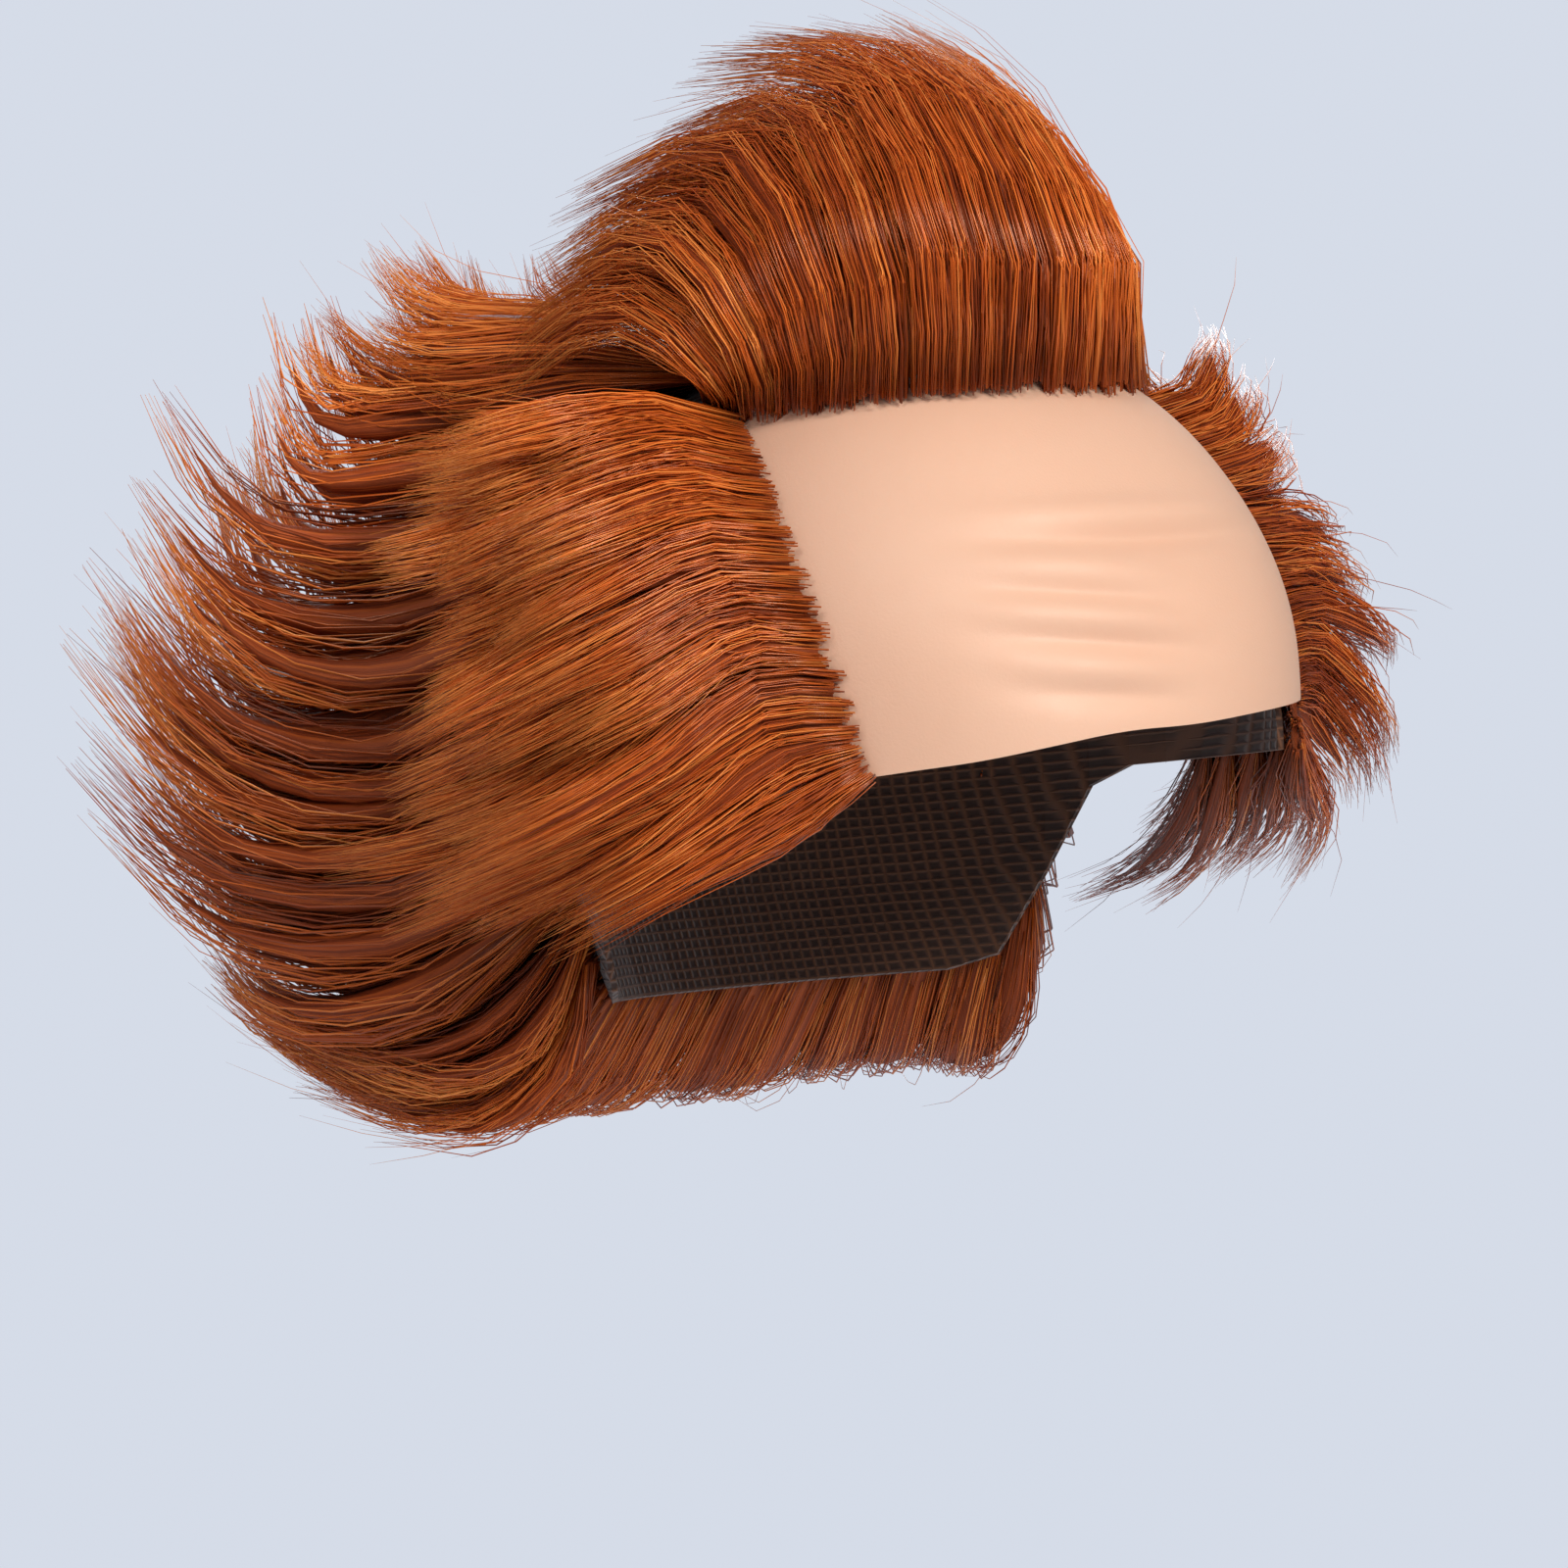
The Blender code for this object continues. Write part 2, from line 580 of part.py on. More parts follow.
def dress(item, finish):
    """Give an object a material of its own and shade it by its angles."""
    item.data.materials.clear()
    item.data.materials.append(make_material(item.name, finish))
    item.data.shade_smooth()
    item.data.set_sharp_from_angle(angle=math.radians(50.0))


def main():
    """Build the wig."""
    clear_scene()
    wig = make_collection("clown_wig")
    cutters = make_collection("cutters")
    dress(make_cap(wig, cutters), NET)
    dress(make_forehead(wig), VINYL)
    dress(make_quiff(wig), HAIR)
    dress(make_side("side_hair_right", 1, wig), HAIR)
    dress(make_side("side_hair_left", -1, wig), HAIR)
    dress(make_crown(wig), HAIR_DEEP)
    dress(make_back(wig), HAIR)
    dress(make_nape(wig), HAIR_DEEP)


main()
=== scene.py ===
"""Looks of a bald-front clown wig: moulded forehead, net cap and combed strands of hair.

The wig stands in the CAD frame: the forehead looks towards -Y, up is +Z, and the wearer's right is -X.
Lengths are metres and angles are degrees. Hair is made as joined meshes from arrays: each lock has a
smooth core, and fine closed strands run along it.
"""
import logging
import math
from dataclasses import dataclass, field
from enum import Enum
from typing import NamedTuple

import bpy
import numpy as np
from mathutils import Matrix, Vector


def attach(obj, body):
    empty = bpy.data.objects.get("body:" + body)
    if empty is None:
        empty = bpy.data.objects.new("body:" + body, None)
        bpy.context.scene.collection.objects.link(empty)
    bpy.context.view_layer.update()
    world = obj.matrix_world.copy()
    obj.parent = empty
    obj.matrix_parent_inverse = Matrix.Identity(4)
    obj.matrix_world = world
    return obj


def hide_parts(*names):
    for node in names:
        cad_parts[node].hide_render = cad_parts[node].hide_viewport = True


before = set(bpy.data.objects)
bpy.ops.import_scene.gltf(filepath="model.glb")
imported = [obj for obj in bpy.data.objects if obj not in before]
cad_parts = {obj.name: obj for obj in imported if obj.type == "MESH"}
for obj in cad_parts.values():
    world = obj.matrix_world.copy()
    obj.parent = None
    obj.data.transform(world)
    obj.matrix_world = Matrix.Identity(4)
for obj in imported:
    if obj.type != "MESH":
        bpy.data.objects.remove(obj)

LOG = logging.getLogger("clown_wig")
Array = np.ndarray
Colour = tuple[float, float, float]
Socket = bpy.types.NodeSocket
Value = Socket | float
UV_NAME = "OFBake"


class Guide(NamedTuple):
    """Root of a lock, then three points as shares of the hair length out, back and up from it."""

    azimuth: float
    height: float
    out_1: float
    back_1: float
    up_1: float
    out_2: float
    back_2: float
    up_2: float
    out_3: float
    back_3: float
    up_3: float


class Edge(NamedTuple):
    """Place on an edge of the forehead: height share and azimuth."""

    height: float
    azimuth: float


class Crease(NamedTuple):
    """Brow fold: places and half length are shares of the forehead's half width."""

    height: float
    middle: float
    half_length: float
    depth: float
    arch: float
    tilt: float


class TipShift(NamedTuple):
    """How the left tuft's tips differ from the right one's: spread outwards, as a factor, and rise."""

    spread: float
    rise: float


HAIRLINE = (
    Edge(0.00, 44.0),
    Edge(0.12, 47.0),
    Edge(0.28, 50.0),
    Edge(0.45, 54.0),
    Edge(0.64, 62.0),
    Edge(0.80, 75.0),
)
CREASES = (
    Crease(0.445, -0.02, 0.62, 1.00, 0.025, 0.000),
    Crease(0.333, -0.25, 0.38, 0.80, 0.000, -0.040),
    Crease(0.235, -0.23, 0.42, 0.90, 0.005, -0.040),
    Crease(0.132, -0.25, 0.36, 0.65, 0.010, -0.028),
)
SIDE_FRONT = (
    Guide(72, 0.78, 0.28, 0.02, 0.04, 0.52, 0.05, 0.03, 0.70, 0.22, 0.00),
    Guide(60, 0.64, 0.23, 0.04, 0.02, 0.50, 0.08, -0.04, 0.68, 0.26, -0.12),
    Guide(52, 0.45, 0.22, 0.06, 0.00, 0.50, 0.12, -0.12, 0.70, 0.32, -0.26),
    Guide(48, 0.28, 0.19, 0.08, 0.01, 0.47, 0.15, -0.13, 0.74, 0.38, -0.26),
    Guide(45, 0.12, 0.15, 0.12, 0.00, 0.41, 0.26, -0.16, 0.70, 0.60, -0.32),
    Guide(43, 0.00, 0.11, 0.13, -0.11, 0.33, 0.39, -0.23, 0.58, 0.90, -0.44),
)
SIDE_REAR = (
    Guide(94, 0.80, 0.26, 0.12, 0.00, 0.44, 0.20, 0.00, 0.56, 0.30, 0.06),
    Guide(86, 0.62, 0.24, 0.10, 0.00, 0.42, 0.16, -0.04, 0.56, 0.26, -0.06),
    Guide(82, 0.44, 0.24, 0.10, -0.04, 0.42, 0.18, -0.12, 0.56, 0.30, -0.16),
    Guide(79, 0.27, 0.20, 0.12, -0.06, 0.40, 0.24, -0.14, 0.56, 0.38, -0.20),
    Guide(77, 0.12, 0.16, 0.18, -0.12, 0.36, 0.38, -0.22, 0.54, 0.60, -0.28),
    Guide(76, 0.02, 0.12, 0.22, -0.16, 0.32, 0.50, -0.30, 0.48, 0.82, -0.36),
)
BACK_SIDE = (
    Guide(104, 0.90, 0.40, 0.54, -0.02, 0.75, 0.79, 0.01, 0.84, 0.88, 0.30),
    Guide(106, 0.76, 0.36, 0.46, -0.08, 0.66, 0.66, -0.02, 0.76, 0.75, 0.28),
    Guide(109, 0.60, 0.30, 0.40, -0.18, 0.60, 0.64, -0.08, 0.77, 0.77, 0.22),
    Guide(112, 0.44, 0.27, 0.32, -0.28, 0.56, 0.64, -0.18, 0.78, 0.84, 0.20),
    Guide(115, 0.28, 0.25, 0.30, -0.24, 0.54, 0.68, -0.14, 0.77, 0.96, 0.27),
    Guide(118, 0.12, 0.26, 0.30, -0.20, 0.52, 0.72, -0.12, 0.72, 1.01, 0.24),
    Guide(120, -0.02, 0.28, 0.32, -0.18, 0.50, 0.76, -0.12, 0.66, 1.02, 0.16),
    Guide(122, -0.16, 0.27, 0.30, -0.22, 0.45, 0.71, -0.22, 0.58, 1.00, -0.04),
)
BACK_QUARTER = (
    Guide(134, 0.90, 0.24, 0.46, -0.04, 0.38, 0.70, -0.02, 0.42, 0.74, 0.20),
    Guide(136, 0.76, 0.24, 0.44, -0.10, 0.38, 0.72, -0.06, 0.44, 0.80, 0.18),
    Guide(138, 0.60, 0.24, 0.42, -0.16, 0.39, 0.76, -0.10, 0.45, 0.86, 0.16),
    Guide(140, 0.44, 0.24, 0.40, -0.20, 0.40, 0.78, -0.14, 0.46, 0.92, 0.16),
    Guide(142, 0.28, 0.22, 0.40, -0.20, 0.38, 0.80, -0.14, 0.44, 0.98, 0.16),
    Guide(144, 0.12, 0.20, 0.40, -0.22, 0.35, 0.80, -0.18, 0.41, 0.98, 0.10),
    Guide(145, -0.02, 0.19, 0.40, -0.24, 0.32, 0.80, -0.22, 0.38, 0.98, 0.04),
    Guide(146, -0.16, 0.18, 0.40, -0.26, 0.29, 0.80, -0.28, 0.35, 0.96, -0.08),
)
BACK_MIDDLE = (
    Guide(180, 0.90, 0.00, 0.42, -0.04, 0.00, 0.62, -0.02, 0.00, 0.66, 0.20),
    Guide(180, 0.76, 0.00, 0.40, -0.10, 0.00, 0.64, -0.06, 0.00, 0.70, 0.18),
    Guide(180, 0.60, 0.00, 0.38, -0.14, 0.00, 0.66, -0.10, 0.00, 0.74, 0.16),
    Guide(180, 0.44, 0.00, 0.36, -0.18, 0.00, 0.66, -0.14, 0.00, 0.78, 0.16),
    Guide(180, 0.28, 0.00, 0.36, -0.20, 0.00, 0.68, -0.16, 0.00, 0.80, 0.12),
    Guide(180, 0.12, 0.00, 0.36, -0.22, 0.00, 0.68, -0.20, 0.00, 0.82, 0.08),
    Guide(180, -0.02, 0.00, 0.36, -0.24, 0.00, 0.68, -0.24, 0.00, 0.82, 0.02),
    Guide(180, -0.16, 0.00, 0.34, -0.26, 0.00, 0.66, -0.30, 0.00, 0.80, -0.08),
)
NAPE = (
    Guide(122, -0.30, 0.00, 0.08, -0.26, 0.05, 0.28, -0.42, 0.14, 0.52, -0.46),
    Guide(131, -0.36, 0.06, 0.20, -0.26, 0.20, 0.48, -0.34, 0.34, 0.82, -0.21),
    Guide(143, -0.40, 0.09, 0.28, -0.24, 0.24, 0.62, -0.26, 0.42, 0.98, -0.02),
    Guide(160, -0.42, 0.04, 0.30, -0.24, 0.12, 0.60, -0.30, 0.20, 0.86, -0.10),
    Guide(180, -0.42, 0.00, 0.30, -0.24, 0.00, 0.56, -0.30, 0.00, 0.76, -0.12),
)
CROWN = (
    Guide(77, 0.86, 0.28, 0.28, 0.03, 0.50, 0.70, 0.02, 0.60, 0.88, 0.22),
    Guide(94, 0.96, 0.22, 0.54, 0.03, 0.40, 0.88, 0.05, 0.46, 1.00, 0.28),
    Guide(130, 0.98, 0.12, 0.66, 0.04, 0.20, 0.99, 0.06, 0.22, 1.09, 0.30),
    Guide(180, 0.98, 0.00, 0.66, 0.06, 0.00, 0.97, 0.08, 0.00, 1.07, 0.30),
)
QUIFF = (
    Guide(75, 0.785, 0.13, -0.08, 0.12, 0.22, 0.18, 0.24, 0.34, 0.60, 0.10),
    Guide(58, 0.785, 0.12, -0.12, 0.20, 0.14, 0.20, 0.48, 0.26, 0.64, 0.38),
    Guide(40, 0.785, 0.10, -0.13, 0.26, 0.06, 0.18, 0.64, 0.16, 0.72, 0.60),
    Guide(22, 0.785, 0.09, -0.13, 0.31, 0.04, 0.19, 0.74, 0.08, 0.76, 0.90),
    Guide(5, 0.785, 0.08, -0.12, 0.29, 0.04, 0.20, 0.73, 0.04, 0.76, 0.97),
    Guide(-12, 0.79, 0.09, -0.11, 0.29, 0.07, 0.20, 0.65, 0.05, 0.69, 0.94),
    Guide(-30, 0.81, 0.11, -0.08, 0.25, 0.08, 0.20, 0.54, 0.01, 0.60, 0.85),
    Guide(-56, 0.845, 0.11, -0.06, 0.20, 0.05, 0.19, 0.43, -0.06, 0.52, 0.71),
)
QUIFF_REAR = (
    Guide(66, 0.86, 0.12, -0.02, 0.12, 0.20, 0.24, 0.22, 0.28, 0.58, 0.16),
    Guide(40, 0.88, 0.08, -0.05, 0.22, 0.10, 0.22, 0.42, 0.16, 0.62, 0.40),
    Guide(12, 0.88, 0.05, -0.05, 0.26, 0.04, 0.21, 0.55, 0.06, 0.64, 0.64),
    Guide(-20, 0.89, 0.05, -0.04, 0.24, 0.03, 0.20, 0.51, 0.01, 0.58, 0.68),
    Guide(-52, 0.91, 0.04, -0.02, 0.18, -0.01, 0.18, 0.37, -0.08, 0.44, 0.56),
)
LEFT_TIPS = (
    TipShift(0.64, 0.26),
    TipShift(0.72, 0.24),
    TipShift(0.86, 0.16),
    TipShift(0.96, 0.08),
    TipShift(1.06, 0.02),
    TipShift(1.18, 0.00),
)
BROW_EDGE = (
    Edge(0.100, -44.0),
    Edge(0.105, -30.0),
    Edge(0.085, -15.0),
    Edge(0.062, 0.0),
    Edge(0.060, 10.0),
    Edge(0.040, 18.0),
    Edge(0.018, 27.0),
    Edge(0.000, 44.0),
)


class Slot(Enum):
    """Names for material slots, which no piece uses."""

    VINYL = "vinyl"
    HAIR = "hair"


def ease(value: Array, low: float, high: float) -> Array:
    """Ease a value from 0 at low to 1 at high.

    Args:
        value: Values to ease.
        low: Where the rise starts.
        high: Where the rise ends.

    Returns:
        The eased shares.
    """
    share = np.clip((value - low) / (high - low), 0.0, 1.0)
    return share * share * (3.0 - 2.0 * share)


def unit(vectors: Array) -> Array:
    """Scale vectors to length one."""
    return vectors / np.maximum(np.linalg.norm(vectors, axis=-1, keepdims=True), 1e-12)


def smooth_between(rows: Array, share: Array) -> Array:
    """Read a table between its rows, on an even Catmull-Rom curve.

    Args:
        rows: Array with the rows first.
        share: Places through the table, from 0 to 1.

    Returns:
        One row for each place.
    """
    spans = len(rows) - 1
    place = np.clip(share, 0.0, 1.0) * spans
    index = np.minimum(place.astype(int), spans - 1)
    part = (place - index).reshape((-1,) + (1,) * (rows.ndim - 1))
    first = 2.0 * rows[:1] - rows[1:2]
    last = 2.0 * rows[-1:] - rows[-2:-1]
    padded = np.concatenate((first, rows, last))
    before, here, after, later = (padded[index + offset] for offset in range(4))
    linear = (after - before) * part
    square = (2.0 * before - 5.0 * here + 4.0 * after - later) * part**2
    cube = (3.0 * here - before - 3.0 * after + later) * part**3
    return 0.5 * (2.0 * here + linear + square + cube)


def smooth_read(value: Array, places: list[float], levels: list[float]) -> Array:
    """Read a level between places with an eased slope.

    Args:
        value: Where to read.
        places: Rising places of the table.
        levels: Level at each place.

    Returns:
        The levels.
    """
    blur = np.linspace(-4.0, 4.0, 9)
    return np.mean([np.interp(value + offset, places, levels) for offset in blur], axis=0)


def mirrored(guides: tuple[Guide, ...]) -> tuple[Guide, ...]:
    """The same guides on the wearer's other side.

    Args:
        guides: Guides of a sheet.

    Returns:
        The new guides.
    """
    return tuple(
        guide._replace(
            azimuth=-guide.azimuth, out_1=-guide.out_1, out_2=-guide.out_2, out_3=-guide.out_3
        )
        for guide in guides
    )


def reshaped(guides: tuple[Guide, ...], sweep: float = 0.0) -> tuple[Guide, ...]:
    """The same guides with their tips shifted as the left tuft's are, row by row.

    Args:
        guides: Guides of a sheet with a row for each shift.
        sweep: How much further back every tip goes.

    Returns:
        The new guides.
    """
    return tuple(
        guide._replace(
            out_2=guide.out_2 * shift.spread,
            out_3=guide.out_3 * shift.spread,
            back_2=guide.back_2 + 0.5 * sweep,
            back_3=guide.back_3 + sweep,
            up_2=guide.up_2 + 0.5 * shift.rise,
            up_3=guide.up_3 + shift.rise,
        )
        for guide, shift in zip(guides, LEFT_TIPS)
    )


def all_round(guides: tuple[Guide, ...]) -> tuple[Guide, ...]:
    """Guides from the wearer's right to the nape, carried on to the wearer's left.

    Args:
        guides: Guides of the right half.

    Returns:
        Guides of both halves.
    """
    other = mirrored(guides[:-1])[::-1]
    return guides + tuple(guide._replace(azimuth=guide.azimuth + 360.0) for guide in other)


def carried_forward(guides: tuple[Guide, ...], turn: float = 22.0) -> tuple[Guide, ...]:
    """The same guides with one more, further to the front on the wearer's left.

    Args:
        guides: Guides of both halves.
        turn: Degrees from the last guide to the new one.

    Returns:
        The new guides.
    """
    last = guides[-1]
    return guides + (last._replace(azimuth=last.azimuth + turn, height=0.90, back_3=last.back_3 - 0.10),)


@dataclass(frozen=True)
class CapForm:
    """Form of the inside of the wig, as the CAD has it."""

    half_width: float = 0.079
    front: float = 0.101
    back: float = 0.100
    crown_rise: float = 0.088
    front_roundness: float = 2.4
    back_roundness: float = 2.1
    neck_taper: float = 0.215
    rim_depth: float = 0.111

    def point(self, azimuth: Array, height: Array, lift: float = 0.0) -> Array:
        """Points of the form, or of a skin that stands off from it.

        Args:
            azimuth: Degrees from the front round the wearer's right.
            height: Share of the rim depth, 0 at the front rim and 1 at the crown.
            lift: How far the skin stands off.

        Returns:
            Points in the wig's frame.
        """
        z = -self.rim_depth * (1.0 - height)
        level = z + self.crown_rise
        above = np.sqrt(np.clip(1.0 - (level / (self.crown_rise + lift)) ** 2, 0.0, 1.0))
        below = 1.0 - self.neck_taper * (level / self.crown_rise) ** 2
        across = np.sin(np.radians(azimuth))
        ahead = np.cos(np.radians(azimuth))
        roundness = np.where(ahead > 0.0, self.front_roundness, self.back_roundness)
        length = np.where(ahead > 0.0, self.front, self.back) + lift
        spread = np.abs(across / (self.half_width + lift)) ** roundness
        spread = spread + np.abs(ahead / length) ** roundness
        radius = np.where(level > 0.0, above, below) * spread ** (-1.0 / roundness)
        return np.stack((-radius * across, -radius * ahead, z + 0.0 * radius), axis=-1)

    def normal(self, azimuth: Array, height: Array) -> Array:
        """Directions straight out of the form.

        Args:
            azimuth: Degrees from the front round the wearer's right.
            height: Share of the rim depth.

        Returns:
            Directions of length one.
        """
        level = np.minimum(height, 0.96)
        along = self.point(azimuth + 0.5, level) - self.point(azimuth - 0.5, level)
        upward = self.point(azimuth, level + 0.01) - self.point(azimuth, level - 0.01)
        return unit(np.cross(upward, along))

    def hairline(self, height: Array) -> Array:
        """Azimuth of the forehead's side edge at height shares."""
        heights = [edge.height for edge in HAIRLINE]
        azimuths = [edge.azimuth for edge in HAIRLINE]
        return np.interp(height, heights, azimuths)


FORM = CapForm()


class NodeSheet:
    """Adds and links nodes in one shader tree."""

    def __init__(self, tree: bpy.types.NodeTree) -> None:
        """Keep the tree that nodes are added to."""
        self.tree = tree

    def add(self, kind: str, inputs: dict | None = None, **settings: object) -> bpy.types.Node:
        """Add a node.

        Args:
            kind: Type of node, without the ShaderNode prefix.
            inputs: Values or sockets for its inputs, by name or index.
            settings: Attributes of the node.

        Returns:
            The new node.
        """
        node = self.tree.nodes.new("ShaderNode" + kind)
        for name, value in settings.items():
            setattr(node, name, value)
        for key, value in (inputs or {}).items():
            if isinstance(value, Socket):
                self.tree.links.new(value, node.inputs[key])
            else:
                node.inputs[key].default_value = value
        return node

    def math(self, operation: str, first: Value, second: Value = 0.0, third: Value = 0.0) -> Socket:
        """Add a Math node and return its result."""
        return self.add("Math", {0: first, 1: second, 2: third}, operation=operation).outputs[0]

    def ramp(self, factor: Socket, stops: list[tuple[float, Colour]]) -> Socket:
        """Add a colour ramp.

        Args:
            factor: Socket that the ramp reads.
            stops: Places and colours, from low to high.

        Returns:
            The ramp's colour.
        """
        node = self.add("ValToRGB", {0: factor})
        elements = node.color_ramp.elements
        while len(elements) < len(stops):
            elements.new(0.5)
        for element, (place, colour) in zip(elements, stops):
            element.position = place
            element.color = (*colour, 1.0)
        return node.outputs["Color"]

    def mix(self, factor: Socket, first: Socket | Colour, second: Socket | Colour) -> Socket:
        """Mix two colours.

        Args:
            factor: Share of the second colour.
            first: First colour.
            second: Second colour.

        Returns:
            The mixed colour.
        """
        node = self.add("Mix", data_type="RGBA")
        for key, value in ((0, factor), (6, first), (7, second)):
            if isinstance(value, Socket):
                self.tree.links.new(value, node.inputs[key])
            else:
                node.inputs[key].default_value = (*value, 1.0)
        return node.outputs[2]


def new_material(name: str) -> tuple[bpy.types.Material, NodeSheet, bpy.types.Node]:
    """Make a material with a Principled BSDF.

    Args:
        name: Name of the material.

    Returns:
        The material, its node sheet and its shader node.
    """
    material = bpy.data.materials.new(name)
    material.use_nodes = True
    sheet = NodeSheet(material.node_tree)
    return material, sheet, material.node_tree.nodes["Principled BSDF"]


def mottle_group() -> bpy.types.NodeTree:
    """Find or make the group that gives a soft uneven mask, for the hair, the vinyl and the floor.

    Returns:
        The group.
    """
    tree = bpy.data.node_groups.get("soft_mottle")
    if tree:
        return tree
    tree = bpy.data.node_groups.new("soft_mottle", "ShaderNodeTree")
    tree.interface.new_socket("Vector", in_out="INPUT", socket_type="NodeSocketVector")
    tree.interface.new_socket("Scale", in_out="INPUT", socket_type="NodeSocketFloat")
    tree.interface.new_socket("Low", in_out="INPUT", socket_type="NodeSocketFloat")
    tree.interface.new_socket("High", in_out="INPUT", socket_type="NodeSocketFloat")
    tree.interface.new_socket("Mask", in_out="OUTPUT", socket_type="NodeSocketFloat")
    sheet = NodeSheet(tree)
    entry = tree.nodes.new("NodeGroupInput")
    leave = tree.nodes.new("NodeGroupOutput")
    noise = sheet.add(
        "TexNoise",
        {"Vector": entry.outputs["Vector"], "Scale": entry.outputs["Scale"], "Detail": 3.0},
    )
    spread = sheet.add(
        "MapRange",
        {
            "Value": noise.outputs["Fac"],
            "From Min": 0.3,
            "From Max": 0.7,
            "To Min": entry.outputs["Low"],
            "To Max": entry.outputs["High"],
        },
    )
    tree.links.new(spread.outputs[0], leave.inputs["Mask"])
    return tree


def mottle(sheet: NodeSheet, vector: Socket, scale: float, low: float, high: float) -> Socket:
    """Place the mottle group in a material.

    Args:
        sheet: Node sheet of the material.
        vector: Coordinates that the mottle reads.
        scale: Scale of the noise.
        low: Lowest value of the mask.
        high: Highest value of the mask.

    Returns:
        The mask.
    """
    group = sheet.add("Group", node_tree=mottle_group())
    sheet.tree.links.new(vector, group.inputs["Vector"])
    for name, value in (("Scale", scale), ("Low", low), ("High", high)):
        group.inputs[name].default_value = value
    return group.outputs["Mask"]


@dataclass(frozen=True)
class HairFinish:
    """Glossy synthetic hair, from deep auburn to bright orange."""

    deep: Colour = (0.080, 0.0105, 0.0020)
    auburn: Colour = (0.340, 0.050, 0.0060)
    orange: Colour = (0.680, 0.138, 0.016)
    glow: Colour = (0.920, 0.300, 0.060)
    roughness: float = 0.31
    core_roughness: float = 0.58
    specular: float = 0.56
    specular_tint: Colour = (1.0, 0.78, 0.60)
    # Painted shade near the roots: along the first share of each strand's length the colour is mixed
    # towards the deep colour, most at the root.
    painted_shade_share: float = 0.62
    painted_shade_root_level: float = 0.15
    # Painted light at the tips: how much the tone rises there, for light shining through the hair.
    painted_tip_glow: float = 0.26
    # Painted shade: the cores' tone is lowered so they read as the shade between strands.
    core_painted_shade: float = -0.12
    streaks: tuple[tuple[float, float], ...] = ((14.0, 0.26), (45.0, 0.34), (150.0, 0.34))

    def stops(self) -> list[tuple[float, Colour]]:
        """Colours by tone, from the depths to the brightest strand."""
        return [(0.0, self.deep), (0.35, self.auburn), (0.70, self.orange), (1.0, self.glow)]

    def place(self, sheet: NodeSheet) -> bpy.types.Node:
        """Read the UV map, whose first axis runs across the hair and the second along it.

        Args:
            sheet: Node sheet of the material.

        Returns:
            Node with an output for each axis.
        """
        uv = sheet.add("UVMap", uv_map=UV_NAME)
        return sheet.add("SeparateXYZ", {0: uv.outputs[0]})

    def stretched(self, sheet: NodeSheet, place: bpy.types.Node, scale: float) -> Socket:
        """Make coordinates for a pattern that is drawn out along the hair.

        Args:
            sheet: Node sheet of the material.
            place: Node with the place across and along the hair.
            scale: How many times finer the pattern is across the hair.

        Returns:
            The coordinates.
        """
        return sheet.add(
            "CombineXYZ", {0: sheet.math("MULTIPLY", place.outputs[0], scale), 1: place.outputs[1]}
        ).outputs[0]

    def ramp_up(
        self, sheet: NodeSheet, value: Socket, span: tuple[float, float], levels: tuple[float, float]
    ) -> Socket:
        """Run between two levels over a span.

        Args:
            sheet: Node sheet of the material.
            value: Socket that is read.
            span: Where the run starts and ends.
            levels: Level at its start and at its end.

        Returns:
            The level.
        """
        limits = {"From Min": span[0], "From Max": span[1], "To Min": levels[0], "To Max": levels[1]}
        return sheet.add("MapRange", {"Value": value, **limits}).outputs[0]

    def dress(
        self, sheet: NodeSheet, shader: bpy.types.Node, tone: Socket, along: Socket, roughness: float
    ) -> None:
        """Feed a shader with the hair's colour and gloss.

        Args:
            sheet: Node sheet of the material.
            shader: Its Principled BSDF.
            tone: Socket with the tone of the strand.
            along: Socket with the place along it.
            roughness: Roughness of the darkest hair.
        """
        colour = sheet.ramp(tone, self.stops())
        # Painted shade: near the root end of the UV map the colour is darkened towards the deep colour,
        # standing in for the shade deep in the hair.
        light = self.ramp_up(sheet, along, (0.0, self.painted_shade_share), (self.painted_shade_root_level, 1.0))
        shaded = sheet.mix(light, self.deep, colour)
        sheet.tree.links.new(shaded, shader.inputs["Base Color"])
        gloss = sheet.math("MULTIPLY_ADD", tone, -0.08, roughness)
        sheet.tree.links.new(gloss, shader.inputs["Roughness"])
        shader.inputs["Specular IOR Level"].default_value = self.specular
        shader.inputs["Specular Tint"].default_value = (*self.specular_tint, 1.0)

    def strand_material(self) -> bpy.types.Material:
        """Finish of single strands, whose tone is across their UV map."""
        material, sheet, shader = new_material("hair_strands")
        place = self.place(sheet)
        drift = mottle(sheet, self.stretched(sheet, place, 40.0), 3.0, -0.10, 0.10)
        # Painted light: the tone rises towards the tips, standing in for light shining through them.
        painted_tip_light = self.ramp_up(sheet, place.outputs[1], (0.7, 1.0), (0.0, self.painted_tip_glow))
        tone = sheet.math("ADD", sheet.math("ADD", place.outputs[0], drift), painted_tip_light)
        self.dress(sheet, shader, tone, place.outputs[1], self.roughness)
        return material

    def lock_material(self) -> bpy.types.Material:
        """Finish of lock cores, streaked along their length and darkened as painted shade between the
        strands.
        """
        material, sheet, shader = new_material("hair_locks")
        place = self.place(sheet)
        # The streaks start from a lowered tone: painted shade between the strands.
        streak = self.core_painted_shade
        for scale, depth in self.streaks:
            layer = mottle(sheet, self.stretched(sheet, place, scale), 1.0, 0.0, depth)
            streak = sheet.math("ADD", layer, streak)
        self.dress(sheet, shader, streak, place.outputs[1], self.core_roughness)
        bump = sheet.add("Bump", {"Height": streak, "Strength": 0.6, "Distance": 0.0006})
        sheet.tree.links.new(bump.outputs[0], shader.inputs["Normal"])
        return material


